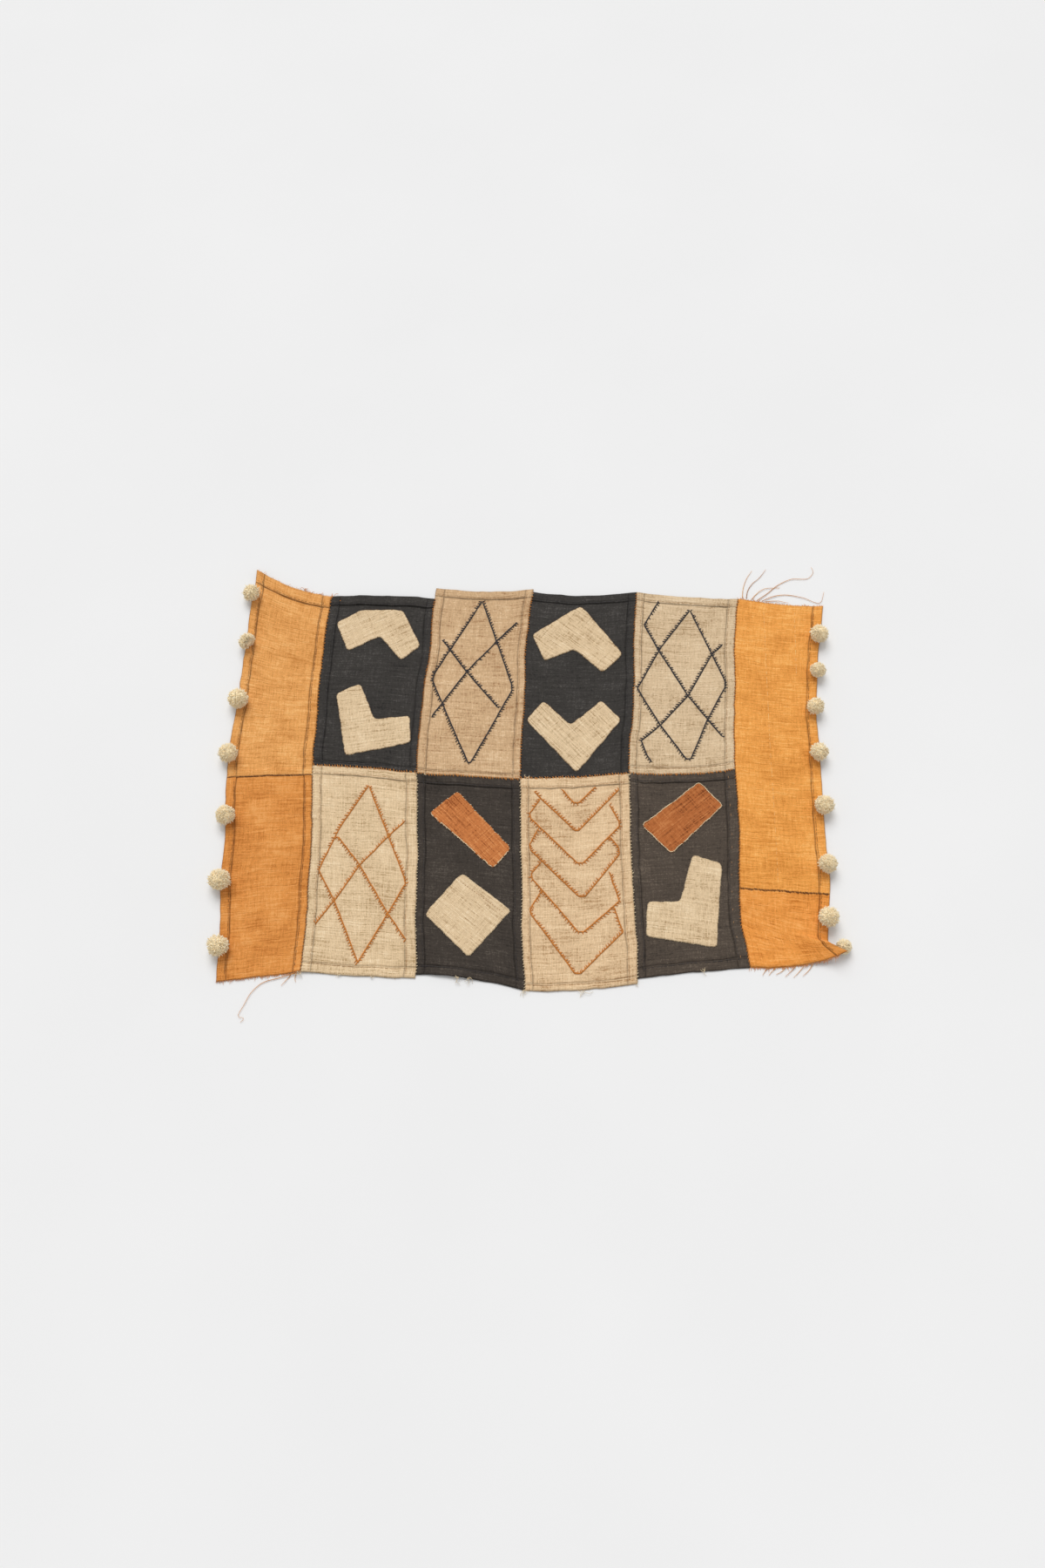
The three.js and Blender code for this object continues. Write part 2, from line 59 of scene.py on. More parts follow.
# Uneven upright lines: x of each where it crosses these heights, top to bottom.
HEIGHTS = [366, 280, 225, 170, 115, 60, -35, -95, -155, -215, -255, -310]
UPRIGHTS = [
    [-421, -427.5, -430, -433.5, -437, -442, -441, -438, -438.5, -435, -434, -434],
    [-293, -305, -308.5, -311.5, -312, -314.5, -312, -310, -311, -310.5, -313, -315],
    [-131, -141.5, -142.5, -150, -154, -158, -156.5, -154, -153, -154, -151.5, -152],
    [22, 10, 4.5, 4, 1, -3, -3, -3, -1, -1, 0, 3],
    [184, 176, 172.5, 171.5, 168, 161, 159, 159, 160, 162, 164, 163],
    [348, 333.5, 327.5, 327, 322, 319.5, 319.5, 318.5, 315, 314, 319.5, 326],
    [483, 468.5, 459, 452.5, 448, 447, 446, 446, 446.5, 440, 438, 438],
]
# Heights of the cross lines in each column: at its left side, middle and right side.
UPPER_EDGE = [
    [366, 335, 319], [320, 320.5, 316], [335, 328, 333],
    [328, 322, 328], [328, 319, 315.5], [316, 306, 302.5],
]
CROSS_SEAM = [
    [9, 13, 14], [30, 25, 18], [17, 11.5, 7],
    [9, 10, 17], [17, 15, 23], [-165, -170, -174],
]
LOWER_EDGE = [
    [-304, -297, -289], [-290, -296, -299], [-294, -300, -317],
    [-317, -316, -307], [-300, -290, -284], [-283, -281, -266],
]

# The raised corner: its ridge, and the lines that follow it from the left seam to the right side.
RIDGE_START = np.array([385, -231])
RIDGE_TIP = np.array([460, -264])
RIDGE_HEIGHT = 24
RIDGE_BEHIND = 7.5
RIDGE_FRONT = 42
RIDGE_CURVE = 1.3
CURLED_SIDE = np.array([[445, -174], [441, -205], [437, -240], [437, -246], [441, -255], [459, -266]])
CURLED_SEAM = np.array([-165, -188, -201, -208, -216, -283])

# Lengths of edge that stand off the floor: x, y, height, reach along, reach inward.
LIFTS = [
    (-100, -297, 3, 62, 13),
    (-314, -291, 2, 34, 20),
    (-421, 366, 4, 55, 21),
]
# Soft creases: start, end, height, half width.
CREASES = [
    ((-428, -247), (-384, -243), 1.6, 5),
    ((-400, -262), (-352, -268), 0.9, 7),
    ((-428, 205), (-396, 196), 0.8, 6),
    ((352, 250), (430, 262), 0.7, 9),
    ((336, 60), (420, 40), 0.7, 10),
    ((-150, -262), (-120, -283), 1.0, 7),
    ((-60, -282), (-10, -292), 1.0, 8),
    ((200, -262), (262, -270), 0.8, 8),
    ((-290, 290), (-200, 284), 0.5, 8),
]
# Share of a crease over which each end fades.
CREASE_FADE = 0.3
# Low unevenness under the cloth: height, length and sharpness of its broad and its fine ripples.
BROAD_RIPPLE = (0.9, 48, 1.6)
FINE_RIPPLE = (0.4, 17, 1.3)
# How far seams and edges wander: distance and length of a short and a long wave.
UPRIGHT_WAVES = ((1.3, 13), (1.4, 37))
CROSS_WAVES = ((1.2, 11), (1.6, 33))
# Length that a cross line counts as, for its waves.
CROSS_RUN = 160

# Colours as pale, middle and dark yarn, 0 to 255 in display values.
LOOKS = {
    "orange_left_upper": ((240, 184, 116), (224, 158, 88), (196, 128, 60)),
    "orange_left_lower": ((230, 162, 92), (215, 140, 68), (186, 112, 46)),
    "orange_right_upper": ((247, 184, 104), (231, 156, 74), (204, 128, 50)),
    "orange_right_lower": ((243, 171, 94), (228, 148, 68), (198, 118, 44)),
    "black": ((84, 80, 77), (56, 53, 50), (32, 30, 29)),
    "black_worn": ((88, 80, 72), (62, 55, 49), (38, 34, 30)),
    "brown_black": ((106, 94, 82), (78, 68, 59), (50, 44, 38)),
    "tan": ((222, 192, 154), (199, 165, 126), (158, 116, 78)),
    "beige": ((226, 203, 170), (208, 182, 147), (166, 136, 100)),
    "cream": ((234, 211, 176), (216, 189, 151), (172, 142, 102)),
    "peach": ((232, 204, 166), (214, 183, 144), (172, 134, 94)),
    "patch": ((232, 210, 176), (214, 188, 151), (168, 138, 100)),
    "rust": ((212, 142, 86), (190, 115, 62), (140, 74, 34)),
    "dark_rust": ((192, 122, 70), (171, 99, 51), (116, 60, 26)),
}
THREADS = {
    "brown_thread": (116, 72, 34),
    "black_thread": (56, 53, 55),
    "orange_thread": (200, 128, 58),
    "rust_thread": (198, 124, 52),
    "pale_thread": (222, 200, 164),
    "slub_thread": (246, 196, 128),
    "tan_thread": (168, 128, 88),
}

# One row per cloth: node, column, upper row or not, hems left, right, low, top, top rise, look,
# record slot, yarn pitch across and along, in millimetres.
CLOTHS = [
    ("side_left_upper", 0, True, (13, 13, 10, 20), ROLLED, "orange_left_upper", "orange_raffia", 1.5, 1.15),
    ("side_left_lower", 0, False, (14, 12, 0, 0), HEM, "orange_left_lower", "deep_orange_raffia", 1.5, 1.15),
    ("panel_upper_1", 1, True, (14, 11, 8, 17), ROLLED, "black", "black_raffia", 1.6, 1.3),
    ("panel_upper_2", 2, True, (13, 11, 8, 14), HEM, "tan", "tan_raffia", 2.0, 1.75),
    ("panel_upper_3", 3, True, (0, 12, 0, 15), HEM, "black", "black_raffia", 1.6, 1.3),
    ("panel_upper_4", 4, True, (11, 14, 12, 14), HEM, "beige", "beige_raffia", 1.85, 1.5),
    ("panel_lower_1", 1, False, (13, 16, 15, 14), HEM, "cream", "cream_raffia", 2.0, 1.4),
    ("panel_lower_2", 2, False, (11, 12, 14, 15), HEM, "black_worn", "brown_black_raffia", 1.6, 1.3),
    ("panel_lower_3", 3, False, (11, 14, 10, 16), HEM, "peach", "peach_raffia", 1.9, 1.6),
    ("panel_lower_4", 4, False, (11, 16, 15, 13), HEM, "brown_black", "brown_black_raffia", 1.6, 1.3),
    ("side_right_upper", 5, True, (0, 15, 0, 0), HEM, "orange_right_upper", "orange_raffia", 1.5, 1.15),
    ("side_right_lower", 5, False, (0, 13, 0, 0), HEM, "orange_right_lower", "deep_orange_raffia", 1.5, 1.15),
]

# The hem that laps the strip below it, with no line of stitches of its own.
LAPPED_HEM = ("side_left_upper", 2)

# Applique patches: node, cloth under it, look, slot, weave angle in degrees, edge thread, corners.
PATCHES = [
    ("patch_upper_1_a", "panel_upper_1", "patch", "patch_raffia", 26, "brown_thread",
     [(-291, 273), (-250, 296), (-187, 295), (-158, 231), (-188, 206), (-221, 249), (-271, 222)]),
    ("patch_upper_1_b", "panel_upper_1", "patch", "patch_raffia", 8, "brown_thread",
     [(-285, 149), (-249, 167), (-225, 106), (-172, 112), (-168, 67), (-267, 45)]),
    ("patch_upper_3_a", "panel_upper_3", "patch", "patch_raffia", -38, "brown_thread",
     [(15, 252), (92, 303), (156, 217), (123, 185), (80, 226), (34, 205)]),
    ("patch_upper_3_b", "panel_upper_3", "patch", "patch_raffia", -48, "brown_thread",
     [(5, 105), (32, 138), (73, 96), (120, 138), (150, 105), (81, 17)]),
    ("patch_lower_2_a", "panel_lower_2", "rust", "rust_raffia", -47, "pale_thread",
     [(-138, -48), (-97, -12), (-16, -104), (-43, -135)]),
    ("patch_lower_2_b", "panel_lower_2", "patch", "patch_raffia", -39, "pale_thread",
     [(-88, -141), (-16, -199), (-77, -269), (-141, -204)]),
    ("patch_lower_4_a", "panel_lower_4", "dark_rust", "rust_raffia", 39, "pale_thread",
     [(175, -67), (264, 3), (298, -36), (218, -112)]),
    ("patch_lower_4_b", "panel_lower_4", "patch", "patch_raffia", -7, "pale_thread",
     [(249, -113), (291, -127), (277, -255), (176, -238), (180, -186), (228, -185)]),
]

# Line embroidery: cloth, thread, then the corners of each stitched line.
EMBROIDERY = [
    ("panel_upper_2", "black_thread", [
        [(-63, 311), (-136, 183), (-138, 171), (-82, 34), (-78, 34), (-16, 155), (-17, 166), (-63, 311)],
        [(-125, 243), (-86, 187), (-36, 124)],
        [(-139, 109), (-86, 187), (-39, 241), (-8, 274)],
    ]),
    ("panel_upper_4", "black_thread", [
        [(262, 295), (215, 230), (176, 158), (209, 96), (246, 40), (253, 40), (281, 106), (310, 160),
         (311, 170), (290, 225), (262, 295)],
        [(214, 311), (190, 269), (209, 227), (253, 145), (281, 106), (304, 74)],
        [(311, 234), (293, 217), (253, 145), (209, 96), (179, 70), (187, 46), (194, 34)],
    ]),
    ("panel_lower_1", "rust_thread", [
        [(-229, -3), (-270, -72), (-297, -137), (-271, -186), (-234, -276), (-194, -203), (-170, -158),
         (-172, -148), (-229, -3)],
        [(-298, -220), (-271, -182), (-238, -130), (-197, -84), (-172, -59)],
        [(-277, -86), (-270, -86), (-238, -128), (-194, -203), (-166, -244)],
    ]),
    ("panel_lower_3", "rust_thread", [
        [(58, -9), (76, -31), (84, -31), (109, -5)],
        [(17, -12), (27, -24), (77, -75), (83, -75), (144, -9)],
        [(27, -24), (11, -48), (12, -56), (80, -126), (88, -126), (143, -68), (142, -60), (129, -34)],
        [(23, -73), (10, -98), (12, -106), (82, -178), (90, -178), (142, -112), (141, -102), (128, -84)],
        [(28, -124), (13, -142), (14, -150), (80, -231), (88, -231), (140, -184), (126, -139)],
        [(29, -166), (11, -196), (12, -204), (74, -292), (82, -292), (144, -231), (130, -189)],
    ]),
]

# Upright seams: line, from and to height, cloth on the left, cloth on the right, thread, spacing.
UPRIGHT_SEAMS = [
    (1, 32, 315, "side_left_upper", "panel_upper_1", "orange_thread", 5.5),
    (1, 15, 28, "side_left_upper", "panel_lower_1", "pale_thread", 5),
    (1, -286, 11, "side_left_lower", "panel_lower_1", "tan_thread", 5),
    (2, 20, 314, "panel_upper_1", "panel_upper_2", "orange_thread", 3.8),
    (2, -292, 15, "panel_lower_1", "panel_lower_2", "pale_thread", 5),
    (3, 11, 326, "panel_upper_2", "panel_upper_3", "rust_thread", 4.4),
    (3, -314, 5, "panel_lower_2", "panel_lower_3", "pale_thread", 5),
    (4, 19, 326, "panel_upper_3", "panel_upper_4", "orange_thread", 4.4),
    (4, -298, 14, "panel_lower_3", "panel_lower_4", "pale_thread", 5),
    (5, 25, 312, "panel_upper_4", "side_right_upper", "orange_thread", 5),
    (5, -162, 20, "panel_lower_4", "side_right_upper", "orange_thread", 5),
    (5, -281, -168, "panel_lower_4", "side_right_lower", "orange_thread", 5),
]
# Cross seams: upper cloth, lower cloth, thread, spacing, least and most reach, least and most slant.
CROSS_SEAMS = [
    ("side_left_upper", "side_left_lower", "brown_thread", 3.2, 0.1, 0.6, 2.6, 4.4),
    *[("panel_upper_{}".format(k), "panel_lower_{}".format(k), "orange_thread", 4.0, 0.9, 2.6, 0.2, 3.0)
      for k in (1, 2, 3, 4)],
    ("side_right_upper", "side_right_lower", "brown_thread", 3.2, 0.3, 1.9, 0.8, 4.0),
]

# Pompoms: x, y and ball radius; the last right one lies on the floor under the raised corner.
POMPOMS = {
    "left": [
        (-424.5, 319.5, 13.5), (-425, 233, 13.5), (-432, 134.5, 16), (-440.5, 44, 15),
        (-437, -55.5, 15), (-438, -156.5, 16.5), (-432.5, -255.5, 16),
    ],
    "right": [
        (459.5, 246.5, 14.5), (453, 184.5, 12.5), (444.5, 122.5, 13.5), (444, 46.5, 14),
        (445, -39.5, 15), (443.5, -131.5, 14.5), (438, -212.5, 15.5), (457, -255, 11.5),
    ],
}

# Loose raffia ends: node, then each strand's points over the floor, root first.
LOOSE_ENDS = {
    "threads_upper_right": [
        [(346, 317), (347, 328), (350, 341), (355, 353), (364, 367)],
        [(352, 316), (355, 330), (363, 343), (374, 353), (386, 369)],
        [(360, 314), (368, 324), (380, 333), (406, 336)],
        [(368, 312), (384, 324), (404, 341), (424, 351), (455, 355), (461, 365), (458, 373)],
        [(376, 311), (392, 319), (412, 323), (440, 318), (468, 309), (475, 328)],
        [(382, 310), (398, 312), (418, 308)],
    ],
    "threads_lower_left": [
        [(-322, -292), (-346, -299), (-368, -306), (-381, -318), (-392, -339), (-398, -355),
         (-390, -357), (-395, -363)],
        [(-326, -292), (-336, -304), (-341, -310)],
        [(-320, -291), (-322, -298), (-321, -305)],
    ],
    "threads_lower_right": [
        [(349, -284), (344, -289), (340, -295)],
        [(360, -284), (354, -289), (349, -295)],
        [(374, -283), (368, -289), (359, -294)],
        [(388, -282), (382, -288), (372, -297)],
        [(400, -281), (394, -288), (384, -298)],
        [(412, -279), (406, -288), (397, -296)],
    ],
}


def smooth(t):
    """Smooth step from 0 to 1 as t runs from 0 to 1."""
    t = np.clip(t, 0, 1)
    return t * t * (3 - 2 * t)


class Ripple:
    """Smooth uneven values, 0 to 1, on a lattice of random numbers."""

    SIZE = 64

    def __init__(self):
        self.lattice = chance.random((self.SIZE, self.SIZE))

    def __call__(self, x, y, scale):
        gx = np.asarray(x, float) / scale
        gy = np.asarray(y, float) / scale
        ix = np.floor(gx).astype(int)
        iy = np.floor(gy).astype(int)
        fx = smooth(gx - ix)
        fy = smooth(gy - iy)
        n = self.SIZE
        low = self.lattice[ix % n, iy % n] * (1 - fx) + self.lattice[(ix + 1) % n, iy % n] * fx
        high = self.lattice[ix % n, (iy + 1) % n] * (1 - fx) + self.lattice[(ix + 1) % n, (iy + 1) % n] * fx
        return low * (1 - fy) + high * fy


broad = Ripple()
fine = Ripple()
wander = Ripple()


def line_place(x, y, start, end):
    """Share of the way along a line, and distance to the left of it."""
    start = np.array(start, float)
    run = np.array(end, float) - start
    length = np.hypot(*run)
    way = run / length
    along = ((x - start[0]) * way[0] + (y - start[1]) * way[1]) / length
    across = -(x - start[0]) * way[1] + (y - start[1]) * way[0]
    return along, across


def ridge_lift(x, y):
    """Height of the raised corner over the floor."""
    along, across = line_place(x, y, RIDGE_START, RIDGE_TIP)
    crest = RIDGE_HEIGHT * np.clip(along, 0, 1.05) ** RIDGE_CURVE
    fall = np.where(across > 0, across / RIDGE_BEHIND, -across / RIDGE_FRONT)
    return crest * np.clip(1 - fall, 0, 1)


def crease_rise(x, y):
    """Height of the soft creases."""
    rise = np.zeros(np.shape(x))
    for start, end, height, half in CREASES:
        along, across = line_place(x, y, start, end)
        ends = smooth(along / CREASE_FADE) * smooth((1 - along) / CREASE_FADE)
        rise = rise + height * ends * np.exp(-(across / half) ** 2)
    return rise


def ground(x, y):
    """Height of the cloth's underside: lifted edges, soft creases and a low unevenness."""
    x = np.asarray(x, float)
    y = np.asarray(y, float)
    lift = np.zeros(np.shape(x))
    for cx, cy, height, along, inward in LIFTS:
        near = (1 - smooth(np.abs(x - cx) / along)) * (1 - smooth(np.abs(y - cy) / inward))
        lift = np.maximum(lift, height * near)
    high, long, sharp = BROAD_RIPPLE
    uneven = high * broad(x, y, long) ** sharp
    high, long, sharp = FINE_RIPPLE
    uneven = uneven + high * fine(x, y, long) ** sharp
    return lift + uneven + crease_rise(x, y)


def between(a, b, slope_a, slope_b, gap, t):
    """A smooth curve from a to b over a gap, with the slopes at its ends, as t runs from 0 to 1."""
    curve = a * (1 + 2 * t) * (1 - t) ** 2 + b * t * t * (3 - 2 * t)
    return curve + gap * t * (1 - t) * (slope_a * (1 - t) - slope_b * t)


def upright(line, y):
    """x of an upright line at height y, smooth through its table."""
    heights = np.array(HEIGHTS[::-1], float)
    values = np.array(UPRIGHTS[line][::-1], float)
    slopes = np.gradient(values, heights)
    y = np.asarray(y, float)
    spot = np.clip(np.searchsorted(heights, y) - 1, 0, len(heights) - 2)
    gap = heights[spot + 1] - heights[spot]
    t = np.clip((y - heights[spot]) / gap, 0, 1)
    curve = between(values[spot], values[spot + 1], slopes[spot], slopes[spot + 1], gap, t)
    (near, short), (far, long) = UPRIGHT_WAVES
    curve = curve + near * (wander(y, 90.0 * line, short) - 0.5)
    return curve + far * (wander(y, 50.0 * line + 7, long) - 0.5)


def crossing(ends, u, row):
    """Height of a cross line over its column, u from 0 to 1."""
    left, middle, right = ends
    curve = left * (1 - u) * (1 - 2 * u) + 4 * middle * u * (1 - u) + right * u * (2 * u - 1)
    free = np.clip(u * (1 - u) * 12, 0, 1)
    run = u * CROSS_RUN
    (near, short), (far, long) = CROSS_WAVES
    return curve + free * (near * (wander(run, row, short) - 0.5) + far * (wander(run, row, long) - 0.5))


# Hems, in millimetres: round edge of a hemmed and of a raw side, stitch pitch, wander of the hem line.
ROUND_HEMMED = 2.4
ROUND_RAW = 1.2
HEM_STITCH = 6.2
HEM_WANDER = 1.6
# The stitch groove's place inside the hem line and half width; the crevice's place past it and depth.
GROOVE_INSIDE = 2.3
GROOVE_HALF = 0.95
CREVICE_PAST = 0.9
CREVICE_DEEP = 0.65
# Half width of the painted shade along edges and hem lines, reach of the puckers past a hem, thinnest cloth,
# steepest slope counted.
FOLD_SHADE_HALF = 1.1
PUCKER_REACH = 11
THINNEST = 0.35
STEEPEST = 2.5
# Grid lines of a cloth: by its edges, about its hem lines, the step between and the least gap.
EDGE_MARKS = np.array([0, 0.35, 0.8, 1.4, 2.4])
FOLD_MARKS = np.array([-6, -4.4, -3.4, -2.9, -2.3, -1.7, -1.1, -0.6, 0, 0.5, 1, 1.5, 2.1, 3, 4.4, 6.4, 9])
GRID_STEP = 3.6
LEAST_GAP = 0.3


class Cloth:
    """One woven piece: plan, hems and surface, over u (left to right) and v (low to top)."""

    def __init__(self, name, column, upper, hems, top_rise, look, slot, warp, weft):
        self.name = name
        self.column = column
        self.upper = upper
        self.hems = hems
        self.top_rise = top_rise
        self.look = look
        self.slot = slot
        self.pitch = (warp, weft)
        self.curled = name == "side_right_lower"
        self.low = (CROSS_SEAM if upper else LOWER_EDGE)[column]
        self.top = (UPPER_EDGE if upper else CROSS_SEAM)[column]
        self.low_row = 100.0 * column + (40 if upper else 80)
        self.top_row = 100.0 * column + (0 if upper else 40)
        middle = (self.low[1] + self.top[1]) / 2
        self.width = float(upright(column + 1, middle) - upright(column, middle))
        self.height = float(self.top[1] - self.low[1])

    def sides(self, v):
        """Points on the left and right sides at v."""
        if self.curled:
            rows = np.linspace(1, 0, len(CURLED_SEAM))[::-1]
            left_y = np.interp(v, rows, CURLED_SEAM[::-1])
            right_y = np.interp(v, rows, CURLED_SIDE[::-1, 1])
            right_x = np.interp(v, rows, CURLED_SIDE[::-1, 0])
            return upright(self.column, left_y), left_y, right_x, right_y
        left_y = self.low[0] + (self.top[0] - self.low[0]) * v
        right_y = self.low[2] + (self.top[2] - self.low[2]) * v
        return upright(self.column, left_y), left_y, upright(self.column + 1, right_y), right_y

    def plan(self, u, v):
        """x and y of the points u, v."""
        left_x, left_y, right_x, right_y = self.sides(v)
        low_bow = crossing(self.low, u, self.low_row) - (self.low[0] * (1 - u) + self.low[2] * u)
        top_bow = crossing(self.top, u, self.top_row) - (self.top[0] * (1 - u) + self.top[2] * u)
        x = left_x * (1 - u) + right_x * u
        y = left_y * (1 - u) + right_y * u + low_bow * (1 - v) + top_bow * v
        return x, y

    def find(self, x, y):
        """u and v of plan points."""
        u = np.full(np.shape(x), 0.5)
        v = np.full(np.shape(x), 0.5)
        for _ in range(12):
            px, py = self.plan(u, v)
            u = np.clip(u + (x - px) / self.width, 0, 1)
            v = np.clip(v + (y - py) / self.height, 0, 1)
        return u, v

    def tall(self, u):
        """Height of the piece at u."""
        return crossing(self.top, u, self.top_row) - crossing(self.low, u, self.low_row)

    def rise(self, u, v):
        """Thickness over the underside, with hems, grooves, puckers and round edges, and the painted shade
        along edges and hem lines.
        """
        tall = self.tall(u) if not self.curled else self.height
        reach = (u * self.width, (1 - u) * self.width, v * tall, (1 - v) * tall)
        along = (v * tall, v * tall, u * self.width, u * self.width)
        band = np.zeros(np.shape(u))
        shape = np.zeros(np.shape(u))
        edge = np.ones(np.shape(u))
        fold_shade = np.zeros(np.shape(u))
        for k, hem in enumerate(self.hems):
            away = reach[k] + HEM_WANDER * (wander(along[k], 11.0 * k + 60 * self.column, 24) - 0.5)
            round_to = ROUND_HEMMED if hem else ROUND_RAW
            edge = np.minimum(edge, 1 - (1 - np.clip(reach[k] / round_to, 0, 1)) ** 2)
            # Painted shade: the colour darkens along every edge of the piece, seams included.
            fold_shade = np.maximum(fold_shade, 0.7 * np.exp(-(reach[k] / FOLD_SHADE_HALF) ** 2))
            if not hem:
                continue
            sewn = 0.0 if (self.name, k) == LAPPED_HEM else 1.0
            # Painted shade in the crevice just past each sewn hem line, its strength varied at random.
            deep = sewn * (0.55 + 0.45 * fine(along[k], 17.0 * k + 5 * self.column, 7))
            fold_shade = np.maximum(fold_shade, deep * np.exp(-((away - hem - 0.5) / FOLD_SHADE_HALF) ** 2))
            high = self.top_rise if k == 3 else HEM
            swell = 0.8 + 0.4 * fine(along[k], 7.0 * k + self.column, 19)
            band = np.maximum(band, high * swell * smooth((hem - away) / 1.5 + 0.5))
            stitch = 0.5 + 0.5 * np.cos(along[k] * 2 * math.pi / HEM_STITCH)
            groove = (0.5 + 0.4 * stitch) * np.exp(-((away - hem + GROOVE_INSIDE) / GROOVE_HALF) ** 2)
            crevice = CREVICE_DEEP * np.exp(-(away - hem - CREVICE_PAST) ** 2)
            past = np.clip((away - hem) / PUCKER_REACH, 0, None)
            pucker = 0.5 * (fine(along[k], 30 + 9.0 * k, 8) - 0.5) * past * np.exp(1 - 3 * past) * 3
            shape = shape + pucker - sewn * (groove + crevice)
        seat = 0.4 + 0.6 * edge
        return np.maximum((CLOTH + band) * seat + shape * edge, THINNEST), fold_shade

    def heights(self, u, v):
        """x, y, underside, top and painted shade along edges and hem lines at the points u, v."""
        x, y = self.plan(u, v)
        under = ground(x, y)
        slant = 1.0
        if self.curled:
            lift = ridge_lift(x, y)
            slope = np.hypot(ridge_lift(x + 1, y) - lift, ridge_lift(x, y + 1) - lift)
            slant = np.hypot(1, np.minimum(slope, STEEPEST))
            under = under + lift
        rise, fold_shade = self.rise(u, v)
        return x, y, under, under + rise * slant, fold_shade

    def over(self, u, v):
        """Points on the top face."""
        x, y, _, top, _ = self.heights(u, v)
        return np.stack([x, y, top], axis=-1)

    def stops(self, length, first, last):
        """Grid distances along a side: close by the edges and the hem lines, wide between."""
        inner = EDGE_MARKS[-1]
        marks = [np.arange(inner, length - inner, GRID_STEP), EDGE_MARKS, length - EDGE_MARKS]
        if first:
            marks.append(first + FOLD_MARKS)
        if last:
            marks.append(length - last - FOLD_MARKS)
        marks = np.sort(np.concatenate(marks))
        marks = marks[(marks >= 0) & (marks <= length)]
        keep = [0.0]
        for mark in marks[1:-1]:
            if mark - keep[-1] > LEAST_GAP and length - mark > LEAST_GAP:
                keep.append(mark)
        return np.array(keep + [length]) / length

    def build(self):
        """The piece as a closed thin sheet with its weave lengths as coordinates."""
        left, right, low, top = self.hems
        across = self.stops(self.width, left, right)
        upward = self.stops(self.height, low, top)
        u, v = np.meshgrid(across, upward)
        x, y, under, over, fold_shade = self.heights(u, v)
        faces, points = sheet_faces(x, y, under, over)
        step_u = np.hypot(np.diff(x, axis=1), np.diff(y, axis=1)).mean(axis=0)
        step_v = np.sqrt(np.diff(x, axis=0) ** 2 + np.diff(y, axis=0) ** 2 + np.diff(under, axis=0) ** 2)
        run_u = np.concatenate([[0], np.cumsum(step_u)])
        run_v = np.concatenate([[0], np.cumsum(step_v.mean(axis=1))])
        weave = np.stack(np.meshgrid(run_u, run_v), axis=-1).reshape(-1, 2)
        fold_shade = np.tile(fold_shade.ravel(), 2)
        return make_object(self.name + "_look", points, faces, np.tile(weave, (2, 1)), fold_shade)


def sheet_faces(x, y, under, over):
    """Quads and points of a closed sheet from grids of its two faces."""
    rows, columns = x.shape
    upper = np.stack([x, y, over], axis=-1).reshape(-1, 3)
    lower = np.stack([x, y, under], axis=-1).reshape(-1, 3)
    index = np.arange(rows * columns).reshape(rows, columns)
    a = index[:-1, :-1].ravel()
    b = index[:-1, 1:].ravel()
    c = index[1:, 1:].ravel()
    d = index[1:, :-1].ravel()
    top = np.stack([a, b, c, d], axis=-1)
    offset = rows * columns
    bottom = np.stack([a, d, c, b], axis=-1) + offset
    rim = np.concatenate([index[0], index[1:, -1], index[-1, -2::-1], index[-2:0:-1, 0]])
    following = np.roll(rim, -1)
    wall = np.stack([rim, rim + offset, following + offset, following], axis=-1)
    return [np.concatenate([top, bottom, wall])], np.concatenate([upper, lower])


def make_object(name, points, face_groups, weave, fold_shade=None):
    """An object in the part's frame from layout points, face arrays, weave lengths and painted shade amounts
    for folds and edges.
    """
    mesh = bpy.data.meshes.new(name)
    points = (np.asarray(points, float) - MIDDLE) * MM
    corners = np.concatenate([group.ravel() for group in face_groups])
    sizes = np.concatenate([np.full(len(group), group.shape[1]) for group in face_groups])
    starts = np.concatenate([[0], np.cumsum(sizes)[:-1]])
    mesh.vertices.add(len(points))
    mesh.vertices.foreach_set("co", points.ravel())
    mesh.loops.add(len(corners))
    mesh.loops.foreach_set("vertex_index", corners.astype(np.int32))
    mesh.polygons.add(len(sizes))
    mesh.polygons.foreach_set("loop_start", starts.astype(np.int32))
    mesh.polygons.foreach_set("use_smooth", np.ones(len(sizes), bool))
    mesh.update(calc_edges=True)
    mesh.validate()
    layer = mesh.uv_layers.new(name="Weave")
    layer.data.foreach_set("uv", (np.asarray(weave, float)[corners] / WEAVE_UNIT).ravel())
    # Second coordinate layer: how much painted shade darkens the colour at each point.
    if fold_shade is not None:
        layer = mesh.uv_layers.new(name="PaintedShade")
        depth = np.stack([fold_shade, np.zeros(len(fold_shade))], axis=-1)
        layer.data.foreach_set("uv", depth[corners].ravel())
    thing = bpy.data.objects.new(name, mesh)
    bpy.context.scene.collection.objects.link(thing)
    return thing


# Weave coordinates of a thread: spread from strand to strand, and length along each.
TONE_RUN = 60
TONE_LENGTH = 10


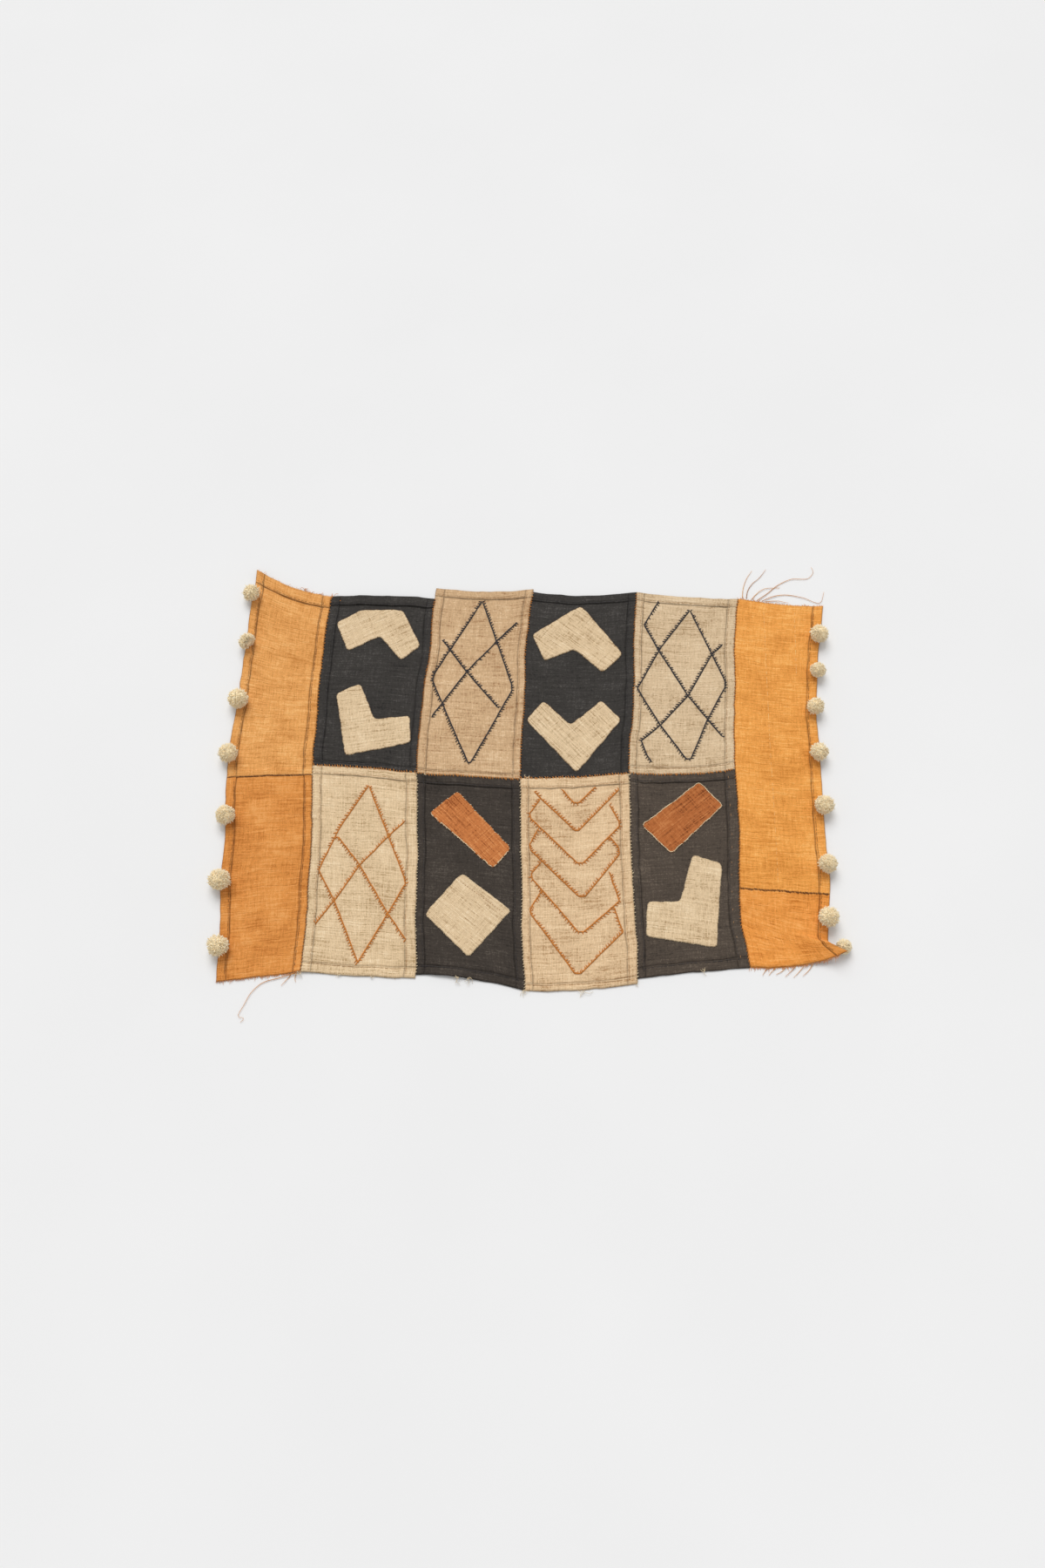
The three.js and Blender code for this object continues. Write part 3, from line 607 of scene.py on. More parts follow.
def tubes(paths, radii, sides=4, flat=1.0):
    """Joined thin tubes: paths (n, k, 3) in millimetres, radii (n, k); returns points, faces, weave."""
    count, steps, _ = paths.shape
    way = np.gradient(paths, axis=1)
    way /= np.maximum(np.linalg.norm(way, axis=-1, keepdims=True), 1e-9)
    up = np.zeros_like(way)
    up[..., 2] = 1
    steep = np.abs(way[..., 2]) > 0.95
    up[steep] = (1, 0, 0)
    side = np.cross(way, up)
    side /= np.maximum(np.linalg.norm(side, axis=-1, keepdims=True), 1e-9)
    normal = np.cross(side, way)
    turn = np.arange(sides) * 2 * math.pi / sides + math.pi / sides
    ring = side[:, :, None, :] * np.cos(turn)[None, None, :, None]
    ring = ring + flat * normal[:, :, None, :] * np.sin(turn)[None, None, :, None]
    points = paths[:, :, None, :] + ring * radii[:, :, None, None]
    index = np.arange(count * steps * sides).reshape(count, steps, sides)
    ahead = np.roll(index, -1, axis=2)
    wall = np.stack([index[:, :-1], ahead[:, :-1], ahead[:, 1:], index[:, 1:]], axis=-1).reshape(-1, 4)
    first = index[:, 0, ::-1]
    last = index[:, -1]
    own = np.broadcast_to(chance.random(count)[:, None, None] * TONE_RUN, (count, steps, sides))
    along = np.broadcast_to(np.linspace(0, TONE_LENGTH, steps)[None, :, None], (count, steps, sides))
    weave = np.stack([own, along], axis=-1).reshape(-1, 2)
    return points.reshape(-1, 3), [wall, first, last], weave


class Threads:
    """Collects tubes of one thread, to join them as one object."""

    def __init__(self):
        self.points = []
        self.faces = {}
        self.weave = []
        self.total = 0

    def add(self, paths, radii, sides=4, flat=1.0):
        """Tubes along paths (n, k, 3), with a radius at each point."""
        paths = np.asarray(paths, float)
        radii = np.broadcast_to(np.asarray(radii, float), paths.shape[:2])
        points, groups, weave = tubes(paths, radii, sides, flat)
        for group in groups:
            self.faces.setdefault(group.shape[1], []).append(group + self.total)
        self.points.append(points)
        self.weave.append(weave)
        self.total += len(points)

    def add_ball(self, centre, radius, squash, lowest, rows=12, around=18):
        """A lumpy ball, kept above a lowest height."""
        levels = np.linspace(-math.pi / 2, math.pi / 2, rows)
        level, turn = np.meshgrid(levels, np.arange(around) * 2 * math.pi / around)
        lump = radius * chance.uniform(0.9, 1.06, level.shape)
        x = centre[0] + lump * np.cos(level) * np.cos(turn)
        y = centre[1] + lump * np.cos(level) * np.sin(turn)
        z = np.maximum(centre[2] + squash * lump * np.sin(level), lowest)
        index = np.arange(level.size).reshape(around, rows) + self.total
        ahead = np.roll(index, -1, axis=0)
        quads = np.stack([index[:, :-1], ahead[:, :-1], ahead[:, 1:], index[:, 1:]], axis=-1).reshape(-1, 4)
        self.faces.setdefault(4, []).append(quads)
        self.points.append(np.stack([x, y, z], axis=-1).reshape(-1, 3))
        own = chance.random(level.size) * TONE_RUN
        self.weave.append(np.stack([own, np.full(level.size, TONE_LENGTH / 2)], axis=-1))
        self.total += level.size

    def build(self, name):
        """All that was collected, as one object."""
        groups = [np.concatenate(group) for group in self.faces.values()]
        return make_object(name, np.concatenate(self.points), groups, np.concatenate(self.weave))


def linear(display):
    """Linear colour of a 0 to 255 display colour."""
    share = np.asarray(display, float) / 255
    return np.where(share <= 0.04045, share / 12.92, ((share + 0.055) / 1.055) ** 2.4)


# Depth of the bumps in metres, and the shine of every surface.
BUMP_DEPTH = 0.0007
SHINE = 0.15


class Shader:
    """A material's node tree with short calls for its nodes."""

    def __init__(self, name):
        self.material = bpy.data.materials.new(name)
        self.material.use_nodes = True
        self.tree = self.material.node_tree
        self.tree.nodes.clear()

    def node(self, kind, *inputs, output=0, **settings):
        """Add a node, set or link its inputs in order, and give one of its outputs."""
        made = self.tree.nodes.new(kind)
        for key, value in settings.items():
            setattr(made, key, value)
        for socket, value in zip(made.inputs, inputs):
            if isinstance(value, bpy.types.NodeSocket):
                self.tree.links.new(value, socket)
            elif value is not None:
                socket.default_value = value
        return made.outputs[output]

    def math(self, operation, a, b=0.0):
        """One operation on one or two values."""
        return self.node("ShaderNodeMath", a, b, operation=operation)

    def times(self, a, b):
        return self.math("MULTIPLY", a, b)

    def plus(self, a, b):
        return self.math("ADD", a, b)

    def minus(self, a, b):
        return self.math("SUBTRACT", a, b)

    def lengths(self, layer):
        """The two coordinates of a layer of the mesh."""
        parts = self.tree.nodes.new("ShaderNodeSeparateXYZ")
        self.tree.links.new(self.node("ShaderNodeUVMap", uv_map=layer), parts.inputs[0])
        return parts.outputs[0], parts.outputs[1]

    def noise(self, x, y, z, scale, detail=2.0):
        """Soft noise at a spot."""
        spot = self.node("ShaderNodeCombineXYZ", x, y, z)
        return self.node("ShaderNodeTexNoise", spot, None, scale, detail, noise_dimensions="3D")

    def ramp(self, factor, stops):
        """Colour by a factor, from stops of place and colour."""
        made = self.tree.nodes.new("ShaderNodeValToRGB")
        ramp = made.color_ramp
        while len(ramp.elements) < len(stops):
            ramp.elements.new(0.5)
        for element, (place, colour) in zip(ramp.elements, stops):
            element.position = place
            element.color = (*colour, 1)
        self.tree.links.new(factor, made.inputs[0])
        return made.outputs[0]

    def finish(self, colour, roughness, height, bump, sheen):
        """The surface itself, with its bump."""
        tree = self.tree
        relief = tree.nodes.new("ShaderNodeBump")
        relief.inputs["Strength"].default_value = bump
        relief.inputs["Distance"].default_value = BUMP_DEPTH
        tree.links.new(height, relief.inputs["Height"])
        surface = tree.nodes.new("ShaderNodeBsdfPrincipled")
        surface.inputs["Sheen Weight"].default_value = sheen
        surface.inputs["Specular IOR Level"].default_value = SHINE
        tree.links.new(colour, surface.inputs["Base Color"])
        tree.links.new(roughness, surface.inputs["Roughness"])
        tree.links.new(relief.outputs[0], surface.inputs["Normal"])
        end = tree.nodes.new("ShaderNodeOutputMaterial")
        tree.links.new(surface.outputs[0], end.inputs[0])
        return self.material


# Weave: bend of the yarns, length of their streaks, warp's and crossings' share of the tone, fleck size.
YARN_BEND = 0.03
STREAK_RUN = 0.05
STREAK_SCALE = 0.9
WARP_SHARE = 0.55
CROSSING_WEIGHT = 0.14
FLECK_RUN = 0.4
CLOUD_SCALE = 2.2


def raffia(name, look, pitch, seed):
    """Plain weave of uneven raffia yarns: pale, middle and dark tones, flecks and soft clouds, with painted
    shade between the yarns and along folds, hem lines and edges.
    """
    pale, middle, dark = (linear(colour) for colour in LOOKS[look])
    streak, fleck, cloud, fold_shade_strength = WEAVES[look]
    shader = Shader(name)
    run_x, run_y = shader.lengths("Weave")
    bend = shader.times(shader.minus(shader.noise(run_x, run_y, seed, 6.0), 0.5), YARN_BEND)
    a = shader.times(shader.plus(run_x, bend), WEAVE_UNIT / pitch[0])
    b = shader.times(shader.plus(run_y, bend), WEAVE_UNIT / pitch[1])
    warp_yarn = shader.math("FLOOR", a)
    weft_yarn = shader.math("FLOOR", b)
    height = weave_height(shader, a, b, warp_yarn, weft_yarn)
    weft_tone = shader.noise(shader.times(a, STREAK_RUN), weft_yarn, seed + 3.1, STREAK_SCALE)
    warp_tone = shader.noise(warp_yarn, shader.times(b, STREAK_RUN), seed + 5.7, STREAK_SCALE)
    crossing_spot = shader.node("ShaderNodeCombineXYZ", warp_yarn, weft_yarn, seed)
    crossing_tone = shader.node("ShaderNodeTexWhiteNoise", crossing_spot, noise_dimensions="3D")
    speck = shader.noise(shader.times(a, FLECK_RUN), shader.times(b, FLECK_RUN), seed + 8.3, 1.0, 3.0)
    haze = shader.noise(run_x, run_y, seed + 1.7, CLOUD_SCALE, 3.0)
    tone = weigh(shader, [
        (weft_tone, streak), (warp_tone, streak * WARP_SHARE), (crossing_tone, CROSSING_WEIGHT),
        (speck, fleck), (haze, cloud),
    ])
    colour = shader.ramp(tone, [(0.08, dark), (0.4, middle * 0.95), (0.6, middle * 1.05), (0.9, pale)])
    # Painted shade: colour darkened along folds, hem lines and edges by the shade layer.
    depth, _ = shader.lengths("PaintedShade")
    fold_shade_factor = shader.minus(1.0, shader.times(depth, fold_shade_strength))
    # Painted shade in the hollows between the yarns, lighter on their crowns.
    gap = shader.times(shader.plus(shader.times(height, 0.5), 0.78), fold_shade_factor)
    painted_gap_shade = shader.node("ShaderNodeCombineXYZ", gap, gap, gap)
    shaded = shader.node("ShaderNodeVectorMath", colour, painted_gap_shade, operation="MULTIPLY")
    roughness = shader.minus(0.92, shader.times(weft_tone, 0.3))
    relief = shader.plus(height, shader.times(weft_tone, 0.8))
    return shader.finish(shaded, roughness, relief, 0.6, 0.04)


def weave_height(shader, a, b, warp_yarn, weft_yarn):
    """Height of a plain weave, 0 to 1: each yarn round across and waved along."""
    def yarn(across, number, along, sign):
        centre = shader.minus(shader.minus(across, number), 0.5)
        round_top = shader.math("COSINE", shader.times(centre, math.pi))
        wave = shader.math("SINE", shader.times(shader.plus(along, number), math.pi))
        return shader.times(round_top, shader.plus(shader.times(wave, sign), 1.0))

    over = shader.math("MAXIMUM", yarn(a, warp_yarn, b, 0.5), yarn(b, weft_yarn, a, -0.5))
    return shader.math("DIVIDE", over, 1.5)


def weigh(shader, parts):
    """A middle tone of 0.5 moved by each noise times its weight."""
    total = 0.5
    for noise, weight in parts:
        total = shader.plus(shader.times(shader.minus(noise, 0.5), weight * 2), total)
    return total


def fibre(name, stops, sheen=0.15, bump=0.3):
    """Twisted or loose fibre: tone by strand and along it."""
    shader = Shader(name)
    own, run = shader.lengths("Weave")
    strand = shader.noise(shader.times(own, 30.0), 0.3, 0.7, 5.0)
    mottle = shader.noise(own, shader.times(run, 9.0), 2.1, 4.0)
    tone = shader.times(shader.minus(strand, 0.5), 1.1)
    tone = shader.plus(tone, shader.times(shader.minus(mottle, 0.5), 0.6))
    # Tone rises from root to tip of each strand; in the pompoms the darker roots round the core are painted
    # shade.
    tone = shader.plus(tone, shader.plus(shader.times(run, 2.5), 0.36))
    colour = shader.ramp(tone, stops)
    roughness = shader.plus(shader.times(strand, 0.3), 0.6)
    return shader.finish(colour, roughness, mottle, bump, sheen)


def thread_look(name):
    """Sewing thread of one colour."""
    colour = linear(THREADS[name])
    return fibre(name, [(0.1, colour * 0.6), (0.45, colour), (0.9, np.minimum(colour * 1.35, 0.9))])


def floor_look():
    """Pale matt floor with a barely uneven tone."""
    shader = Shader("pale_floor")
    place = shader.node("ShaderNodeTexCoord", output=3)
    mottle = shader.node("ShaderNodeTexNoise", place, None, 2.5, 3.0, noise_dimensions="3D")
    colour = shader.ramp(mottle, [(0.3, (0.845, 0.845, 0.845)), (0.7, (0.865, 0.865, 0.865))])
    roughness = shader.plus(shader.times(mottle, 0.1), 0.8)
    return shader.finish(colour, roughness, mottle, 0.02, 0.0)


# Weight of streaks, flecks and clouds in each weave, and the strength of the painted shade along its folds,
# hem lines and edges.
WEAVES = {
    "orange_left_upper": (0.75, 0.16, 0.5, 0.72),
    "orange_left_lower": (0.8, 0.16, 0.55, 0.72),
    "orange_right_upper": (0.75, 0.16, 0.5, 0.72),
    "orange_right_lower": (0.8, 0.16, 0.55, 0.72),
    "black": (0.42, 0.2, 0.3, 0.6),
    "black_worn": (0.42, 0.2, 0.35, 0.6),
    "brown_black": (0.42, 0.2, 0.3, 0.6),
    "tan": (0.55, 0.16, 0.35, 0.55),
    "beige": (0.6, 0.12, 0.35, 0.5),
    "cream": (0.6, 0.1, 0.3, 0.5),
    "peach": (0.6, 0.12, 0.4, 0.5),
    "patch": (0.6, 0.1, 0.3, 0.45),
    "rust": (0.7, 0.1, 0.3, 0.4),
    "dark_rust": (0.75, 0.1, 0.3, 0.4),
}
# Seeds of the weaves, and the patches' yarn pitch across and along.
SEED_STEP = 10.0
PATCH_SEED = 200
PATCH_PITCH = (1.9, 1.55)


def dress(thing, material, node=None):
    """Give an object its material, its body and the node it stands for."""
    thing.data.materials.append(material)
    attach(thing, "root")
    if node:
        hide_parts(node)


def weave_cloths():
    """The panels and side strips."""
    for number, cloth in enumerate(cloths.values()):
        thing = cloth.build()
        weave = raffia(cloth.name + "_weave", cloth.look, cloth.pitch, SEED_STEP * number)
        dress(thing, weave, cloth.name)


def resample(line, step):
    """Points evenly spaced along a line, about a step apart."""
    line = np.asarray(line, float)
    run = np.concatenate([[0], np.cumsum(np.linalg.norm(np.diff(line, axis=0), axis=1))])
    count = max(int(round(run[-1] / step)), 2)
    marks = np.linspace(0, run[-1], count + 1)
    return np.stack([np.interp(marks, run, line[:, k]) for k in range(line.shape[1])], axis=-1)


def rounded(corners, radius, step):
    """Outline through the corners, each rounded, with points about a step apart."""
    corners = np.array(corners, float)
    outline = []
    for k, corner in enumerate(corners):
        before = corners[k - 1] - corner
        after = corners[(k + 1) % len(corners)] - corner
        cut = min(radius, np.hypot(*before) * 0.3, np.hypot(*after) * 0.3)
        start = corner + before / np.hypot(*before) * cut
        end = corner + after / np.hypot(*after) * cut
        for t in np.linspace(0, 1, 5):
            outline.append(start * (1 - t) ** 2 + 2 * corner * t * (1 - t) + end * t ** 2)
    outline = np.array(outline)
    return resample(np.concatenate([outline, outline[:1]]), step)[:-1]


def signed_area(outline):
    """Area within a closed outline, over 0 when it runs anticlockwise."""
    ahead = np.roll(outline, -1, axis=0)
    return np.sum(outline[:, 0] * ahead[:, 1] - ahead[:, 0] * outline[:, 1]) / 2


def inward_normals(outline):
    """Unit normals that point into a closed outline."""
    way = np.roll(outline, -1, axis=0) - np.roll(outline, 1, axis=0)
    way /= np.linalg.norm(way, axis=1, keepdims=True)
    normal = np.stack([-way[:, 1], way[:, 0]], axis=-1)
    return normal if signed_area(outline) > 0 else -normal


def edge_distance(points, outline):
    """Distance of points to a closed outline."""
    run = np.roll(outline, -1, axis=0) - outline
    gap = points[:, None, :] - outline[None, :, :]
    t = np.clip(np.sum(gap * run[None], axis=-1) / np.sum(run * run, axis=-1)[None], 0, 1)
    return np.linalg.norm(gap - t[..., None] * run[None], axis=-1).min(axis=1)


def inside(points, outline):
    """Which points lie within a closed outline."""
    x, y = points[:, 0, None], points[:, 1, None]
    ax, ay = outline[None, :, 0], outline[None, :, 1]
    bx, by = np.roll(ax, -1, axis=1), np.roll(ay, -1, axis=1)
    spans = (ay > y) != (by > y)
    level = np.where(spans, by - ay, 1.0)
    crossed = spans & (x < ax + (y - ay) * (bx - ax) / level)
    return crossed.sum(axis=1) % 2 == 1


# Patches: turned edge and flat middle thickness, clearance over the cloth, width of the turned edge.
PATCH_EDGE = 1.35
PATCH_FLAT = 0.95
PATCH_CLEAR = 0.1
PATCH_TURNED = 8
# Their outline's corner radius, point spacing and ripple, rings inside it, and the grid within.
PATCH_CORNER = 7.0
PATCH_STEP = 1.9
PATCH_RIPPLE = 1.6
PATCH_RINGS = (0.6, 1.3, 2.4)
PATCH_GRID = 3.2
PATCH_MARGIN = 3.6
WEAVE_OFFSET = 500


def patch_seat(cloth, points):
    """Height of the cloth under a patch."""
    u, v = cloth.find(points[:, 0], points[:, 1])
    return cloth.over(u, v)[:, 2] + PATCH_CLEAR


def patch_thickness(away, points):
    """Thickness of a patch by the distance from its edge: round, doubled at the turned edge."""
    turned = PATCH_TURNED + 3 * (wander(points[:, 0], points[:, 1], 14) - 0.5)
    flat = PATCH_FLAT + (PATCH_EDGE - PATCH_FLAT) * smooth((turned - away) / 2.5 + 0.5)
    swell = 0.25 * (fine(points[:, 0] + 40, points[:, 1], 9) - 0.4) * smooth(away / 3)
    lip = 1 - (1 - np.clip(away / 1.6, 0, 1)) ** 2
    return (flat + swell) * (0.3 + 0.7 * lip)


def patch_plan(outline, normals):
    """Plan points of a patch and its triangles: rings by the edge and a loose grid within."""
    rings = [outline] + [outline + normals * inset for inset in PATCH_RINGS]
    low = outline.min(axis=0)
    high = outline.max(axis=0)
    columns = np.arange(low[0], high[0], PATCH_GRID)
    rows = np.arange(low[1], high[1], PATCH_GRID)
    grid = np.stack(np.meshgrid(columns, rows), axis=-1)
    grid = grid.reshape(-1, 2) + chance.uniform(-0.6, 0.6, (grid.size // 2, 2))
    grid = grid[inside(grid, outline)]
    grid = grid[edge_distance(grid, outline) > PATCH_MARGIN]
    plan = np.concatenate(rings + [grid])
    count = len(outline)
    rim = [(k, (k + 1) % count) for k in range(count)]
    places, _, triangles, *_ = delaunay_2d_cdt([tuple(point) for point in plan], rim, [], 1, 1e-4)
    return np.array([tuple(place) for place in places]), np.array(triangles)


def build_patch(name, cloth, angle, corners):
    """A patch as a closed thin sheet that follows the cloth below it."""
    outline = rounded(corners, PATCH_CORNER, PATCH_STEP)
    normals = inward_normals(outline)
    ripple = wander(outline[:, 0] * 1.3, outline[:, 1] * 1.3, 9) - 0.5
    outline = outline + normals * (PATCH_RIPPLE * ripple)[:, None]
    plan, triangles = patch_plan(outline, normals)
    away = edge_distance(plan, outline)
    seat = patch_seat(cloth, plan)
    top = seat + patch_thickness(away, plan)
    total = len(plan)
    border = np.arange(len(outline))
    following = np.roll(border, -1)
    area = signed_area(outline)
    wall = np.stack([border, border + total, following + total, following], axis=-1)
    if area < 0:
        wall = wall[:, ::-1]
    points = np.concatenate([np.column_stack([plan, top]), np.column_stack([plan, seat])])
    bearing = math.radians(angle)
    along = plan[:, 0] * math.cos(bearing) + plan[:, 1] * math.sin(bearing)
    across = -plan[:, 0] * math.sin(bearing) + plan[:, 1] * math.cos(bearing)
    weave = np.tile(np.stack([along, across], axis=-1), (2, 1)) + WEAVE_OFFSET
    # Painted shade along the patch's rim.
    fold_shade = np.tile(np.exp(-(away / 0.9) ** 2), 2)
    faces = [triangles, triangles[:, ::-1] + total, wall]
    thing = make_object(name + "_look", points, faces, weave, fold_shade)
    return thing, outline, normals, np.ptp(along), np.ptp(across), abs(area)


def on_patch(cloth, plans, rises):
    """Thread paths on a patch from plan points (n, k, 2), each point raised over the cloth."""
    seat = patch_seat(cloth, plans.reshape(-1, 2)).reshape(plans.shape[:2])
    return np.concatenate([plans, (seat + np.array(rises))[..., None]], axis=-1)


def edge_cord(cloth, outline, normals, chosen, thread):
    """Overlapping stitches laid along a patch's edge, where chosen."""
    spots = np.arange(0, len(outline), 2)
    spots = spots[chosen[spots]]
    marks = (spots[:, None] + np.arange(4)[None, :]) % len(outline)
    inset = np.array([0.2, 0.8, 0.9, 0.5])[None, :, None] + chance.normal(0, 0.15, (len(spots), 1, 1))
    paths = on_patch(cloth, outline[marks] + normals[marks] * inset, (0.6, 1.25, 1.25, 0.7))
    threads[thread].add(paths, np.array([[0.4, 0.6, 0.6, 0.4]]) * chance.uniform(0.7, 1.2, (len(spots), 1)))


def edge_stitches(cloth, outline, normals, thread, width):
    """Short slanted stitches from a patch over its edge to the cloth."""
    spots = np.arange(0, len(outline), 3)
    spots = spots[chance.random(len(spots)) < 0.85]
    inner = outline[spots] + normals[spots] * chance.uniform(0.8, 1.7, (len(spots), 1))
    outer = outline[spots] - normals[spots] * chance.uniform(0.2, 0.7, (len(spots), 1))
    slant = np.roll(outline, -1, axis=0)[spots] - outline[spots]
    outer = outer + slant * chance.uniform(-0.1, 0.7, (len(spots), 1))
    ways = np.stack([inner * (1 - t) + outer * t for t in (0, 0.3, 0.6, 1)], axis=1)
    paths = on_patch(cloth, ways, (1.05, 1.55, 1.2, -0.1))
    threads[thread].add(paths, np.array([[0.3, 0.42, 0.42, 0.3]]) * width)


def sew_patches():
    """The applique patches with the stitches round them."""
    for number, (name, under, look, slot, angle, edging, corners) in enumerate(PATCHES):
        cloth = cloths[under]
        thing, outline, normals, long, wide, area = build_patch(name, cloth, angle, corners)
        weave = raffia(name + "_weave", look, PATCH_PITCH, PATCH_SEED + SEED_STEP * number)
        dress(thing, weave, name)
        if look == "dark_rust":
            edge_cord(cloth, outline, normals, chance.random(len(outline)) < 0.92, edging)
        if look == "rust":
            chosen = (normals[:, 1] > 0.2) & (chance.random(len(outline)) < 0.75)
            edge_cord(cloth, outline, normals, chosen, edging)
        edge_stitches(cloth, outline, normals, edging, 1.0 if look == "patch" else 1.35)


def lay_stitches(cloth, plans, thread, lifts, radii, vary=(0.85, 1.15)):
    """Short stitches from plan points (n, k, 2) on a cloth, with a lift and a radius at each point."""
    u, v = cloth.find(plans[..., 0].ravel(), plans[..., 1].ravel())
    paths = cloth.over(u, v).reshape(*plans.shape[:2], 3)
    paths[..., 2] += np.array(lifts)
    threads[thread].add(paths, np.array([radii]) * chance.uniform(*vary, (len(plans), 1)))


# Spacing of the points along a stitched line.
LINE_STEP = 0.5


def stitch_over(cloth, line, thread, step, length, radius, above, jitter=0.25):
    """Running stitches along a line of plan points on a cloth."""
    spots = resample(line, LINE_STEP)
    run = np.arange(len(spots)) * LINE_STEP
    starts = np.arange(chance.uniform(0, step), run[-1] - length, step)
    starts = starts + chance.uniform(-jitter, jitter, len(starts)) * step
    stretch = chance.uniform(0.75, 1.2, (len(starts), 1))
    marks = starts[:, None] + length * np.linspace(0, 1, 4)[None, :] * stretch
    plans = np.stack([np.interp(marks, run, spots[:, 0]), np.interp(marks, run, spots[:, 1])], axis=-1)
    radii = radius * np.array([0.7, 1, 1, 0.7])
    lay_stitches(cloth, plans, thread, (-0.1, above, above, -0.1), radii, (0.8, 1.15))


# Embroidery, in points along the line: length and step of the slanted stitches, step of the barbs.
SLANT_SPAN = 12
SLANT_STEP = 6
BARB_STEP = 9


def embroider(cloth, corners, thread, side):
    """A line of slanted overlapping stitches with short barbs on one side."""
    line = resample(corners, LINE_STEP)
    stray = [wander(line[:, 0], line[:, 1] + 300, 12), wander(line[:, 1], line[:, 0], 12)]
    line = line + 0.8 * np.stack(stray, -1)
    line = line - 0.4
    way = np.gradient(line, axis=0)
    way /= np.linalg.norm(way, axis=1, keepdims=True)
    beside = np.stack([-way[:, 1], way[:, 0]], axis=-1) * side
    starts = np.arange(0, len(line) - SLANT_SPAN, SLANT_STEP)
    starts = starts + chance.integers(0, 2, len(starts))
    marks = starts[:, None] + np.array([0, 4, 8, SLANT_SPAN])[None, :]
    marks = np.minimum(marks, len(line) - 1)
    lean = np.array([-0.8, -0.3, 0.3, 0.8])[None, :, None] * side
    cords = line[marks] + beside[marks] * lean
    lay_stitches(cloth, cords, thread, (0.15, 0.6, 0.6, 0.15), (0.5, 0.78, 0.78, 0.5))
    roots = np.arange(3, len(line) - 3, BARB_STEP)
    roots = roots[chance.random(len(roots)) < 0.93]
    roots = np.minimum(roots + chance.integers(-1, 2, len(roots)), len(line) - 1)
    reach = chance.uniform(3.2, 5.0, (len(roots), 1))
    slip = way[roots] * reach * chance.uniform(0.2, 0.7, (len(roots), 1))
    tips = line[roots] + beside[roots] * reach + slip
    barbs = np.stack([line[roots] * (1 - t) + tips * t for t in (0, 0.35, 0.7, 1)], axis=1)
    lay_stitches(cloth, barbs, thread, (0.5, 0.65, 0.5, -0.1), (0.75, 0.85, 0.75, 0.45))


def sew_embroidery():
    """The stitched lozenges and chevrons of the pale panels."""
    for name, thread, lines in EMBROIDERY:
        for number, corners in enumerate(lines):
            embroider(cloths[name], corners, thread, 1 if number % 2 else -1)


def sew_lozenge():
    """The line of small stitches inside the upper right edge of the lozenge patch."""
    line = resample([(-94, -152), (-24, -205)], 4.2)
    way = (line[-1] - line[0]) / np.linalg.norm(line[-1] - line[0])
    plans = line[:-1, None, :] + way * np.array([0, 0.9, 1.8, 2.7])[None, :, None]
    paths = on_patch(cloths["panel_lower_2"], plans, (0.8, 1.25, 1.25, 0.8))
    threads["tan_thread"].add(paths, np.full(paths.shape[:2], 0.35))


# Hem thread and its radius by the first word of the record's material slot.
HEM_THREADS = {
    "orange": ("brown_thread", 0.42), "deep": ("brown_thread", 0.42),
    "black": ("black_thread", 0.4), "brown": ("black_thread", 0.4),
    "tan": ("tan_thread", 0.4), "beige": ("tan_thread", 0.4), "cream": ("tan_thread", 0.4),
    "peach": ("tan_thread", 0.4),
}
HEM_STITCH_INSIDE = 1.9
HEM_STITCH_LENGTH = 5.6
# Pale slubs in the right strip, and the tacking's distance inside the brown panel's right hem.
SLUBS = ([(378, 296), (373, 60), (373, -40), (371, -160)], [(426, 292), (421, 180)])
TACKING_INSIDE = 5


def hem_line(cloth, side, inside):
    """Plan points of a line that runs inside a hem: side 0 left, 1 right, 2 low, 3 top."""
    t = np.linspace(0.02, 0.98, 160)
    if side < 2:
        away = (cloth.hems[side] - inside) / cloth.width
        u = np.full(t.shape, away if side == 0 else 1 - away)
        x, y = cloth.plan(u, t)
    else:
        away = (cloth.hems[side] - inside) / cloth.tall(t)
        x, y = cloth.plan(t, away if side == 2 else 1 - away)
    return np.stack([x, y], axis=-1)


def sew_hems():
    """Running stitches of the hems, the tacking on the brown panel and the slubs."""
    for cloth in cloths.values():
        thread, radius = HEM_THREADS[cloth.slot.split("_")[0]]
        for side in range(4):
            if cloth.hems[side] and (cloth.name, side) != LAPPED_HEM:
                line = hem_line(cloth, side, HEM_STITCH_INSIDE)
                stitch_over(cloth, line, thread, HEM_STITCH, HEM_STITCH_LENGTH, radius, 0.0)
    brown = cloths["panel_lower_4"]
    stitch_over(brown, hem_line(brown, 1, TACKING_INSIDE), "tan_thread", 23, 3.2, 0.45, 0.3)
    for slub in SLUBS:
        stitch_over(cloths["side_right_upper"], slub, "slub_thread", 8, 5, 0.4, 0.05, 0.4)


# Stitches over a seam: share of the way over it and rise there; thread radii; points tried on an edge.
WHIP_ARCH = ((0, -0.15), (0.3, 0.35), (0.55, 0.45), (0.8, 0.3), (1, -0.15))
UPRIGHT_WHIP = 0.62
CROSS_WHIP = 0.72
SEAM_SAMPLES = 1501


def whip(near, far, thread, radius):
    """Stitches over a seam: from points on one cloth to points on the other, arched over the joint."""
    high = np.maximum(near[:, 2], far[:, 2])
    steps = []
    for share, above in WHIP_ARCH:
        step = near * (1 - share) + far * share
        step[:, 2] = np.maximum(step[:, 2], high * (above > 0)) + above
        steps.append(step)
    threads[thread].add(np.stack(steps, axis=1), radius * np.array([[0.7, 1, 1, 1, 0.7]]))


